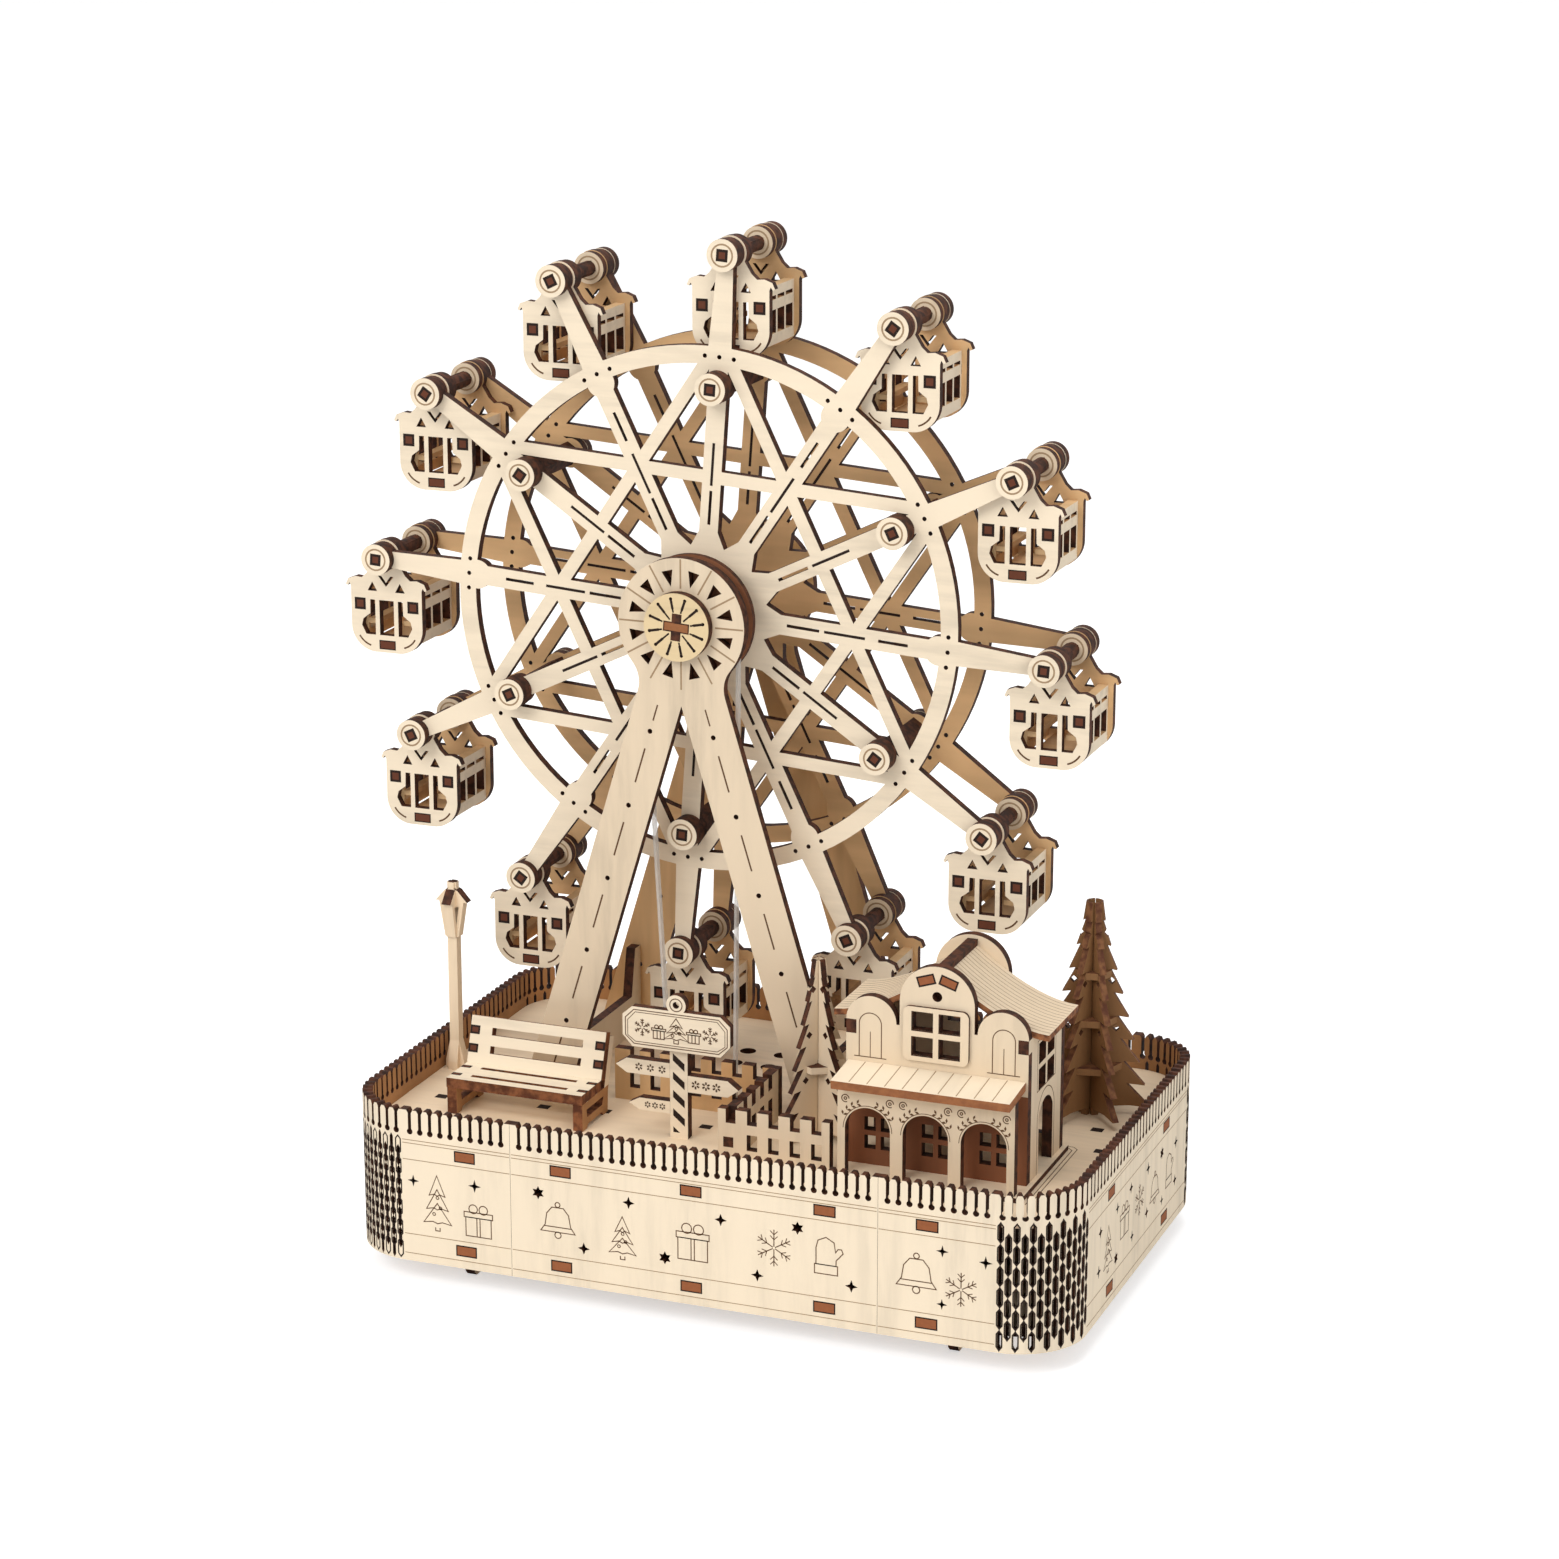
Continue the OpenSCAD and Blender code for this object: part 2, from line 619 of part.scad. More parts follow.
module cabin_end() difference() {
    low = -cabin_drop + cabin_corner;
    half = cabin_w / 2;
    union() {
        circle(ring_r);
        neck = ring_r - 0.7;
        outline([[-neck, -2.2], [neck, -2.2], [6.4, -5.8], [8.4, -7.6], [9.6, -9.6], [-9.6, -9.6],
            [-8.4, -7.6], [-6.4, -5.8]]);
        area(-half, half, low, eave_z - 1);
        area(-half + cabin_corner, half - cabin_corner, -cabin_drop, low);
        for (side = [-1, 1]) translate([side * (half - cabin_corner), low]) circle(cabin_corner);
        for (side = [-1, 1]) outline([[side * 7, eave_z - 1.2], [side * 7, eave_z + 1.2],
            [side * (half - 1.5), eave_z + 1.5], [side * (eave_w / 2 - 0.8), eave_z + 0.6],
            [side * eave_w / 2, eave_z - 1.2], [side * (eave_w / 2 - 0.7), eave_z - 1.5],
            [side * (half + 0.4), eave_z - 0.6], [side * half, eave_z - 1.6]]);
    }
    circle(pin_r + run_play);
    translate([0, -7.6])
        outline([[-2.6, 1.2], [-1.5, 1.2], [0, -0.8], [1.5, 1.2], [2.6, 1.2], [0, -2.05]]);
    for (side = [-1, 1]) translate([side * 4.6, -10.2]) outline([[-1.6, -1], [1.6, -1], [0, 1.85]]);
    for (side = [-1, 1]) translate([side * tab_x, tab_z]) square(tab_side + 2 * fit, center = true);
    sill = -cabin_drop + 5.3;
    head = -13.9;
    area(-2.4, 2.4, sill, head);
    for (side = [-1, 1]) outline([[side * 3.8, head], [side * 5.4, head], [side * 5.5, -18.2],
        [side * 7.9, -20], [side * 8.4, -22], [side * 7, sill], [side * 3.8, sill]]);
    area(-floor_tab_w / 2 - fit, floor_tab_w / 2 + fit, floor_z - fit, floor_z + thin_ply + fit);
}

// Side of a cabin: a slatted board whose tabs reach through both ends.
module cabin_side(x) crosswise(x, tab_side) {
    front = cabin_y + thin_ply + fit;
    back = cabin_back_y - fit;
    low = -cabin_drop + 3.2;
    bar = 1.2;
    window = (back - front - 4 * bar) / 3;
    difference() {
        area(front, back, low, eave_z - 1.5);
        for (k = [0 : 2]) translate([front + bar + k * (window + bar), 0])
            area(0, window, low + 3.2, eave_z - 4.2);
    }
    area(cabin_y, cabin_back_y + thin_ply, tab_z - tab_side / 2, tab_z + tab_side / 2);
}

module cabin_floor() flat(floor_z, thin_ply) {
    half = tab_x - tab_side / 2 - 1.4;
    area(-half, half, cabin_y + thin_ply + fit, cabin_back_y - fit);
    area(-floor_tab_w / 2, floor_tab_w / 2, cabin_y, cabin_back_y + thin_ply);
}

module cabin_seat(side) flat(-cabin_drop + 8.2, 1.5)
    area(side < 0 ? -tab_x + tab_side / 2 + fit : 4.2, side < 0 ? -4.2 : tab_x - tab_side / 2 - fit,
         cabin_y + thin_ply + fit, cabin_back_y - fit);

module cabin(i) color("papayawhip") placed() translate([
        axis_x + arm_r * sin(wheel_turn + step * i), 0, axis_z + arm_r * cos(wheel_turn + step * i)]) {
    upright(cabin_y, thin_ply) cabin_end();
    upright(cabin_back_y, thin_ply) cabin_end();
    cabin_side(-tab_x - tab_side / 2);
    cabin_side(tab_x - tab_side / 2);
    cabin_floor();
    cabin_seat(-1);
    cabin_seat(1);
}

// Crank: shaft, lower pulley, arm and knob. The arm hangs down at rest.
module on_crank() translate([crank_x, 0, crank_z]) children();

module crank_shaft() color("tan") placed() on_crank()
    round_bar(crank_r, board_ys[0], base_d / 2 + side_play + ply);

module crank_pulley() color("peru") placed() on_crank() {
    difference() {
        union() {
            round_bar(low_flange_r, pulley_y, pulley_y + flange_t);
            round_bar(low_groove_r, groove_y, groove_y + groove_w);
            round_bar(low_flange_r, groove_y + groove_w, groove_y + groove_w + flange_t);
        }
        round_bar(crank_r, pulley_y - 1, groove_y + groove_w + flange_t + 1);
    }
}

module crank_arm() color("wheat") placed() on_crank() upright(base_d / 2 + side_play) difference() {
    union() {
        circle(6);
        translate([0, -crank_arm]) circle(4.6);
        outline([[-5.4, 0], [5.4, 0], [4.2, -crank_arm], [-4.2, -crank_arm]]);
    }
    circle(crank_r);
    translate([0, -crank_arm]) square(tenon, center = true);
}

module crank_knob() color("burlywood") placed() on_crank() translate([0, 0, -crank_arm]) {
    start = base_d / 2 + side_play + ply;
    square_bar(tenon - 2 * fit, start - ply, start + 1);
    translate([0, start, 0]) rotate([-90, 0, 0]) rotate_extrude()
        outline([[0, 0], [knob_r - 0.6, 0], [knob_r - 1.4, 2.5], [knob_r - 1, knob_len / 2],
            [knob_r, knob_len - 3], [knob_r - 0.6, knob_len - 0.8], [knob_r - 1.8, knob_len],
            [0, knob_len]]);
}

// Bench: a slatted seat and a leaning slatted back, tabbed into two side frames.
bench_x = -88.5;
bench_y = -43;
seat_rise = 8.2;
seat_deep = 14;
seat_rows = [3.9, 10.7];
seat_slot = 1.6;
back_lean = 17.8;
back_tall = 14.1;
back_rows = [3.35, 8.8];
back_slot = 2.25;
module bench_back() translate([0, bench_y + seat_deep + fit, deck_top + seat_rise + ply])
    rotate([-back_lean, 0, 0]) upright(0) difference() {
        area(bench_x, bench_x + bench_l, 0, back_tall);
        for (z = back_rows) {
            area(bench_x + 7, bench_x + bench_l - 7, z, z + back_slot);
            area(bench_x - 1, bench_x + ply + fit, z, z + back_slot);
            area(bench_x + bench_l - ply - fit, bench_x + bench_l + 1, z, z + back_slot);
        }
    }
module bench_seat() flat(deck_top + seat_rise) difference() {
    area(bench_x, bench_x + bench_l, bench_y, bench_y + seat_deep);
    for (y = seat_rows) translate([0, bench_y + y - seat_slot / 2]) {
        area(bench_x + 6.3, bench_x + bench_l - 6.3, 0, seat_slot);
        area(bench_x - 1, bench_x + ply + fit, 0, seat_slot);
        area(bench_x + bench_l - ply - fit, bench_x + bench_l + 1, 0, seat_slot);
    }
}
module bench_frame() translate([bench_y, deck_top]) {
    under = seat_rise - fit;
    heel = seat_deep + 1.4;
    difference() {
        outline([[0.4, 0], [3.6, 0], [4.4, 1.2], [heel - 1, 1.2], [heel, 0], [heel + 3.2, 0],
            [heel + 3.5, under - 1.65], [heel + 0.65, under], [0.4, under]]);
        outline([[3.9, 3.4], [heel - 0.8, 3.4], [heel + 0.2, under - 2.35], [3.4, under - 2.35]]);
    }
    for (y = seat_rows) area(y - seat_slot / 2 + fit, y + seat_slot / 2 - fit, under - 1, seat_rise + ply);
    translate([seat_deep + fit, seat_rise + ply]) rotate(-back_lean) {
        area(ply + fit, 2 * ply, -3, back_tall - 1.1);
        for (z = back_rows) area(0, ply + 1, z + fit, z + back_slot - fit);
    }
}
module bench() color("wheat") placed() {
    bench_seat();
    bench_back();
    for (x = [bench_x, bench_x + bench_l - ply]) crosswise(x) bench_frame();
}

// Street lamp: two slotted boards that cross along the post, with a lantern on top.
lamp_x = -103;
lamp_y = -6;
module lamp_profile() {
    roof = lamp_h - 6;
    area(-1.5, 1.5, 0, lamp_h - 15);
    outline([[-3, 0], [3, 0], [3, 2.5], [1.5, 9], [-1.5, 9], [-3, 2.5]]);
    difference() {
        outline([[-2.2, lamp_h - 17], [2.2, lamp_h - 17], [4, roof], [-4, roof]]);
        outline([[-1.3, lamp_h - 14.5], [1.3, lamp_h - 14.5], [2.4, roof - 1.6], [-2.4, roof - 1.6]]);
    }
    outline([[-5.2, roof], [5.2, roof], [2.2, roof + 3.4], [0.9, roof + 4], [0.9, lamp_h], [-0.9, lamp_h],
             [-0.9, roof + 4], [-2.2, roof + 3.4]]);
}
module street_lamp() color("burlywood") placed() translate([lamp_x, lamp_y, deck_top]) {
    translate([0, -ply / 2, 0]) upright(0) lamp_profile();
    crosswise(-ply / 2) lamp_profile();
}

// Sign: a post, an eight-sided board with a hanging ring, and three pointers.
sign_x = -17.2;
sign_y = -37;
sign_post_w = 5.5;
sign_half = 16.65;
sign_tall = 12.1;
module sign_post() color("antiquewhite") placed() translate([sign_x, 0, deck_top])
    upright(sign_y) area(-sign_post_w / 2, sign_post_w / 2, 0, sign_h + 8);
module sign_board() color("antiquewhite") placed() translate([sign_x + 0.35, 0, deck_top + sign_h])
    upright(sign_y - thin_ply - fit, thin_ply) difference() {
        ring_z = sign_tall + 1.95;
        union() {
            outline([[-sign_half, 3.3], [-sign_half + 3, 0], [sign_half - 3, 0], [sign_half, 3.3],
                [sign_half, sign_tall - 2.6], [sign_half - 3, sign_tall],
                [-sign_half + 3, sign_tall], [-sign_half, sign_tall - 2.6]]);
            translate([0, ring_z]) circle(3);
        }
        translate([0, ring_z]) circle(1, $fn = 24);
    }
// A pointer from the post to its tip, as [length, lower edge, height, side].
pointers = [[16.9, 18.1, 4.5, -1], [12.9, 7.2, 3.7, -1], [15.7, 14.5, 5, 1]];
module direction_arrows() color("antiquewhite") placed() translate([sign_x, 0, deck_top])
    upright(sign_y) for (p = pointers) {
        near = sign_post_w / 2 + fit;
        neck = near + p[0] - 3.4;
        outline([for (q = [[near, 0], [neck, 0], [near + p[0], p[2] / 2], [neck, p[2]], [near, p[2]]])
            [p[3] * q[0], p[1] + q[1]]]);
    }

// Fences: battlements along the top and small windows below. The side fence has a tenon in front.
fence_pitch = 6.5;
notch_w = 3;
notch_deep = 4.1;
fence_tenon = [4.4, 7.4];
module fence(length, bare = 0) difference() {
    count = floor(length / fence_pitch);
    start = (length - (count - 1) * fence_pitch - notch_w) / 2;
    area(0, length, 0, fence_h);
    for (k = [0 : count - 1]) translate([start + k * fence_pitch, 0]) {
        area(0, notch_w, fence_h - notch_deep, fence_h + 1);
        if (k >= bare) area(-0.1, notch_w + 0.1, 4, fence_h - 7);
    }
}
plinth_out = 1.5;
fence_x = 1.3;
fence_lip = 1.7;
fence_front_y = -48.7;
fence_back_y = -13.3;
rear_fence_l = 51.9;
module front_fence() color("burlywood") placed() translate([fence_x - fence_lip, 0, deck_top])
    upright(fence_front_y) difference() {
        fence(house_x - plinth_out - fit - fence_x + fence_lip, 1);
        area(fence_lip - fit, fence_lip + ply + fit, fence_tenon[0] - fit, fence_tenon[1] + fit);
    }
module side_fence() color("burlywood") placed() translate([0, fence_front_y + ply + fit, deck_top])
    crosswise(fence_x) {
        fence(fence_back_y - fence_front_y - ply - 2 * fit);
        area(-ply - fit, 1, fence_tenon[0], fence_tenon[1]);
    }
module rear_fence() color("burlywood") placed() translate([fence_x + ply - rear_fence_l, 0, deck_top])
    upright(fence_back_y) fence(rear_fence_l);

// House: walls on a plinth, an arcade with an awning in front and a flared roof.
house_mid = house_x + house_w / 2;
house_back = house_y + house_d;
plinth_t = 1.5;
house_floor = deck_top + plinth_t;
ridge_z = deck_top + ridge_rise;
arch_pitch = 17.1;
arch_half = 6.7;
arch_spring = 15.2;
arcade_in = 0.8;
arcade_y = house_y - 6 - ply;
awning_z = deck_top + 32.2;
awning_deep = 14.6;
awning_slope = 5.5;
awning_in = 0.7;
arcade_top = awning_z - (house_y - arcade_y) * tan(awning_slope) - thin_ply / cos(awning_slope) - fit;
eave_out = 4.8;
roof_t = 1.8;
roof_drop = 15.4;
roof_half = house_w / 2 + eave_out;
// Height of the underside of the roof at a distance from the ridge, steep at first and flared out.
function roof_z(d) = ridge_z - roof_t - roof_drop * (1 - pow(1 - d / roof_half, 1.7));
wall_plate_z = roof_z(house_w / 2) - fit;

module house_plinth() color("burlywood") placed() flat(deck_top, plinth_t)
    area(house_x - plinth_out, house_x + house_w + plinth_out, arcade_y - 0.5, house_back + 1);

module four_panes(w, h, bar) for (sx = [-1, 1], sz = [-1, 1])
    translate([sx * (w + bar) / 2, sz * (h + bar) / 2]) square([w, h], center = true);

gable_half = 11;
gable_slot = 0.95;
gable_z = ridge_z + 1.7 - gable_half;
shoulder = (house_w / 2 - gable_half - gable_slot) / 2;
shoulder_z = ridge_z - 16.75;
side_tab = 4;
window_z = gable_z - 9;
pane_w = 6.4;
pane_h = 5.8;
pane_bar = 1.6;
module house_gable() {
    area(house_mid - gable_half, house_mid + gable_half, house_floor, gable_z);
    translate([house_mid, gable_z]) circle(gable_half, $fn = 64);
}
module house_front() color("antiquewhite") placed() upright(house_y) difference() {
    union() {
        area(house_x, house_x + house_w, house_floor, shoulder_z);
        for (side = [-1, 1]) translate([house_mid + side * (house_w / 2 - shoulder), shoulder_z])
            circle(shoulder);
        house_gable();
    }
    translate([house_mid, window_z]) four_panes(pane_w, pane_h, pane_bar);
    translate([house_mid, gable_z + 2.2]) circle(1.45, $fn = 24);
    for (x = [house_x - 1, house_x + house_w - ply - fit])
        area(x, x + ply + fit + 1, shoulder_z - side_tab - fit, shoulder_z + fit);
    for (k = [-1, 0, 1]) translate([house_mid + k * arch_pitch, deck_top + 11]) four_panes(3.4, 4, 1.5);
}

module house_window() color("antiquewhite") placed() translate([house_mid, 0, window_z])
    upright(house_y - 1 - fit, 1) difference() {
        wide = 19.3 / 2;
        tall = 15.9 / 2;
        round = 2;
        union() {
            area(-wide, wide, -tall + round, tall - round);
            area(-wide + round, wide - round, -tall, tall);
            for (sx = [-1, 1], sz = [-1, 1]) translate([sx * (wide - round), sz * (tall - round)])
                circle(round, $fn = 32);
        }
        four_panes(pane_w, pane_h, pane_bar);
    }

module arch_hole(half, spring, base) {
    area(-half, half, base, spring);
    translate([0, spring]) circle(half);
}

module house_arcade() color("antiquewhite") placed() upright(arcade_y) difference() {
    area(house_x + arcade_in, house_x + house_w - arcade_in, house_floor, arcade_top);
    for (k = [-1, 0, 1]) translate([house_mid + k * arch_pitch, 0])
        arch_hole(arch_half, deck_top + arch_spring, house_floor - 1);
}

// Awning: a gently sloped board from the wall out over the arcade.
module house_awning() color("wheat") placed() difference() {
    translate([0, house_y, awning_z]) rotate([awning_slope, 0, 0])
        translate([0, -awning_deep, -thin_ply]) linear_extrude(thin_ply)
            area(house_x + awning_in, house_x + house_w - awning_in, 0, awning_deep);
    translate([house_x, house_y - fit, awning_z - 2 * thin_ply]) cube([house_w, ply, 4 * thin_ply]);
}

// Rear wall: as high as the underside of the roof, with the same gable as the front.
module house_rear() color("antiquewhite") placed() upright(house_back - ply) difference() {
    union() {
        half = house_w / 2;
        outline(concat([[house_x, house_floor], [house_x + house_w, house_floor]],
            [for (k = [-8 : 8]) [house_mid - half * k / 8, roof_z(half * abs(k) / 8) - fit]]));
        house_gable();
    }
    translate([house_mid, window_z]) four_panes(pane_w, pane_h, pane_bar);
    for (k = [-1, 1]) translate([house_mid + k * arch_pitch, 0])
        arch_hole(4.5, deck_top + 14, house_floor + 4);
}

// Side walls: a window over a low-arched doorway, and a tab that reaches through the front wall.
side_pane_w = 6.45;
side_pane_h = 6.2;
door_half = 6.5;
door_spring = deck_top + 18.2;
door_rise = 4.2;
module house_sides() color("antiquewhite") placed()
    for (x = [house_x, house_x + house_w - ply]) crosswise(x) {
        mid = (house_y + house_back) / 2;
        door_r = (door_half * door_half + door_rise * door_rise) / 2 / door_rise;
        area(house_y, house_y + ply + 1, shoulder_z - side_tab, shoulder_z);
        difference() {
            area(house_y + ply + fit, house_back - ply - fit, house_floor, wall_plate_z);
            translate([mid, deck_top + 33.5]) four_panes(side_pane_w, side_pane_h, 1.5);
            area(mid - door_half, mid + door_half, house_floor - 1, door_spring);
            intersection() {
                translate([mid, door_spring + door_rise - door_r]) circle(door_r, $fn = 64);
                area(mid - door_half, mid + door_half, door_spring - 1, door_spring + door_rise + 1);
            }
        }
    }

module house_ridge() color("sienna") placed() crosswise(house_mid - ply / 2)
    area(house_y + ply + fit, house_back - ply - fit, ridge_z - 9, ridge_z + 0.6);

// Roof: two sheets that meet at the ridge board and flare towards the eaves.
module house_roof() color("wheat") placed() for (side = [-1, 1]) translate([house_mid, 0, 0])
    upright(house_y + ply + fit, house_d - 2 * ply - 2 * fit) {
        steps = 10;
        near = ply / 2 + fit;
        spots = [for (k = [0 : steps]) near + (roof_half - near) * k / steps];
        outline(concat([for (d = spots) [side * d, roof_z(d)]],
                       [for (k = [steps : -1 : 0]) [side * spots[k], roof_z(spots[k]) + roof_t]]));
    }

// Fir trees: separate fins with sawn edges. Each disc's slots and the fins' notches hook together.
function fir_edge(h, w, tiers, top) = concat([[top, h]], [for (k = [0 : tiers - 1])
    let (z = h * (1 - pow((k + 1) / tiers, 0.94)) + 2.5, r = w * pow((k + 1.1) / (tiers + 0.1), 0.85))
        each [[max(r, top + 0.8), z], [max(r * 0.62 + 0.6, top), z + 0.4]]], [[3.4, 2.2], [3.4, 0]]);
module fir_fin(h, w, tiers, inner, hook, tier_zs, t) difference() {
    outline(concat([[inner, 0], [inner, h]], fir_edge(h, w, tiers, inner + 0.6)));
    for (k = [2 : 2 : tiers - 2])
        translate([w * 0.42 * pow(k / tiers, 0.85) + inner, h * (1 - k / tiers) + 5])
            rotate(45) square(1.6, center = true);
    for (z = tier_zs) area(inner - 1, hook + fit, z - fit, z + t + fit);
}
module fir_tree(h, w, tiers, fins, t, discs) {
    inner = t / 2 / tan(180 / fins) + 0.1;
    hook = inner + 1;
    tier_zs = [for (k = [1 : discs]) h * k / (discs + 1.6)];
    for (i = [0 : fins - 1]) rotate(360 * i / fins) translate([0, t / 2, 0])
        rotate([90, 0, 0]) linear_extrude(t) fir_fin(h, w, tiers, inner, hook, tier_zs, t);
    for (k = [1 : discs]) translate([0, 0, tier_zs[k - 1]]) linear_extrude(t) difference() {
        circle(w * (0.66 - 0.42 * k / (discs + 1)), $fn = 6);
        for (i = [0 : fins - 1]) rotate(360 * i / fins) area(hook, w, -t / 2 - fit, t / 2 + fit);
    }
}
fin_t = 2;
tree_x = 87;
tree_y = 27;
tree_r = 17.5;
tree_turn = 12;
small_tree_x = 19.5;
small_tree_y = -20.5;
small_tree_r = 13.5;
small_tree_turn = -30;
module large_tree() color("saddlebrown") placed() translate([tree_x, tree_y, deck_top])
    rotate(tree_turn) fir_tree(tree_h, tree_r, 9, 6, fin_t, 3);
module small_tree() color("burlywood") placed() translate([small_tree_x, small_tree_y, deck_top])
    rotate(small_tree_turn) fir_tree(small_tree_h, small_tree_r, 8, 4, fin_t, 1);

floor_plate();
deck_plate();
wall_front();
wall_back();
wall_left();
wall_right();
feet();
bearing_boards();
front_stand();
rear_stand();
gussets();
belt();
wheel_front();
wheel_rear();
shaft_boards();
shaft_bushes();
hub_discs();
drive_pulley();
cabin_axles();
cabin_caps();
spacer_bars();
inner_caps();
cabin(0);  // cabin_01
cabin(1);  // cabin_02
cabin(2);  // cabin_03
cabin(3);  // cabin_04
cabin(4);  // cabin_05
cabin(5);  // cabin_06
cabin(6);  // cabin_07
cabin(7);  // cabin_08
cabin(8);  // cabin_09
cabin(9);  // cabin_10
cabin(10);  // cabin_11
cabin(11);  // cabin_12
crank_shaft();
crank_pulley();
crank_arm();
crank_knob();
bench();
street_lamp();
sign_post();
sign_board();
direction_arrows();
front_fence();
side_fence();
rear_fence();
house_plinth();
house_front();
house_arcade();
house_awning();
house_window();
house_rear();
house_sides();
house_ridge();
house_roof();
small_tree();
large_tree();
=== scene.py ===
"""Looks of the wooden ferris wheel model: laser-cut plywood, its burnt edges and its engraved lines.

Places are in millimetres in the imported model's own frame and are worked out from its nodes.
"""

import math

import bmesh
import bpy
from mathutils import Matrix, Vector


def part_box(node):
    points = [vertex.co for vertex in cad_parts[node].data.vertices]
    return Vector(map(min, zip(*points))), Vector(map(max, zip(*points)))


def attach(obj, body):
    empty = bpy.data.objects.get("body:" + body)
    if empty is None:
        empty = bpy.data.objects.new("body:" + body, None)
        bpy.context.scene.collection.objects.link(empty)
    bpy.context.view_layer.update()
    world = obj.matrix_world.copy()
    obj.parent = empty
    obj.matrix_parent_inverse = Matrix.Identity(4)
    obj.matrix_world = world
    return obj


MM = 0.001

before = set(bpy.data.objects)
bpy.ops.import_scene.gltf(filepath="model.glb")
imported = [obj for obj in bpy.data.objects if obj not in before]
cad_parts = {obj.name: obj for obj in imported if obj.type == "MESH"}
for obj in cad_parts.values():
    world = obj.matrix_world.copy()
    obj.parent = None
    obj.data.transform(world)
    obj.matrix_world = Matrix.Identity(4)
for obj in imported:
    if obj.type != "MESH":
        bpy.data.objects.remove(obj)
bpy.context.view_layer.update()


def low(node):
    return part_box(node)[0] / MM


def high(node):
    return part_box(node)[1] / MM


def middle(node):
    return (low(node) + high(node)) / 2


# Sizes and places that the drawings below are laid on, in millimetres and degrees.
SHEET = high("deck_plate").z - low("deck_plate").z
THIN_SHEET = 2.5
FIT = 0.05

BASE = middle("deck_plate")
HALF_W = (high("wall_right").x - low("wall_left").x) / 2
HALF_D = (high("wall_back").y - low("wall_front").y) / 2
CORNER_R = 20
DECK_TOP = high("deck_plate").z

AXIS = middle("hub_discs")
AXIS.y = 0
WHEEL_TURN = 4.1
CABINS = 12
STEP = 360 / CABINS
ARM_R = 104.5
INNER_CAP_R = 66.5

BENCH_LEAN = 17.8
SEAT_DEEP = 14
SEAT_RISE = 8.2
SEAT_REAR = low("bench").y + SEAT_DEEP + FIT
SEAT_TOP = DECK_TOP + SEAT_RISE + SHEET

HOUSE_X = middle("house_front").x
AWNING_SLOPE = 5.5

X_AXIS = (1, 0, 0)
Y_AXIS = (0, 1, 0)
Z_AXIS = (0, 0, 1)
FRONT = (0, -1, 0)
REAR = (0, 1, 0)
UP = (0, 0, 1)


# Colours


def linear(r, g, b):
    """A colour given as it looks on screen, from 0 to 255, as the shader's own numbers."""
    channels = []
    for value in (r, g, b):
        c = value / 255
        channels.append(c / 12.92 if c <= 0.04045 else ((c + 0.055) / 1.055) ** 2.4)
    return (*channels, 1)


BIRCH = linear(236, 219, 193)
BIRCH_WARM = linear(223, 203, 175)
BIRCH_TAN = linear(238, 215, 184)
BIRCH_DISC = linear(220, 196, 154)
# Painted shade for faces turned inward, away or under things. The first is for the backs and insides of
# sheets. The second is for the walls' inner faces, which are partly also laser smoke, and for the bench
# frames under the seat. The third is for the house front behind the arcade.
BIRCH_BACK_SHADE = linear(226, 186, 137)
BIRCH_SMOKE_AND_SHADE = linear(176, 128, 84)
BIRCH_SHADE = linear(132, 82, 54)
PULLEY_BROWN = linear(134, 86, 58)
CUT_DARK = linear(46, 25, 16)
CUT_BROWN = linear(88, 50, 32)
CUT_FRAME = linear(140, 88, 56)
CUT_LIGHT = linear(158, 102, 64)
LINE_BROWN = linear(104, 74, 50)
LINE_FAINT = linear(172, 144, 112)
SLOT_DARK = linear(40, 25, 18)
TAB_BROWN = linear(104, 57, 38)
TAB_LIGHT = linear(158, 94, 58)
TREE_TAN = linear(136, 98, 62)
TREE_EDGE = linear(128, 86, 54)
BAND_GREY = linear(214, 208, 200)
BAND_PALE = linear(240, 237, 232)


# Materials

# Every material under its name, which the pieces ask for it by.
MATERIALS = {}

# Stretch of the wood's figure along each axis.
EVEN = (1, 1, 1)
ALONG_X = (0.12, 1, 1)
ALONG_Y = (1, 0.12, 1)
ALONG_Z = (1, 1, 0.12)


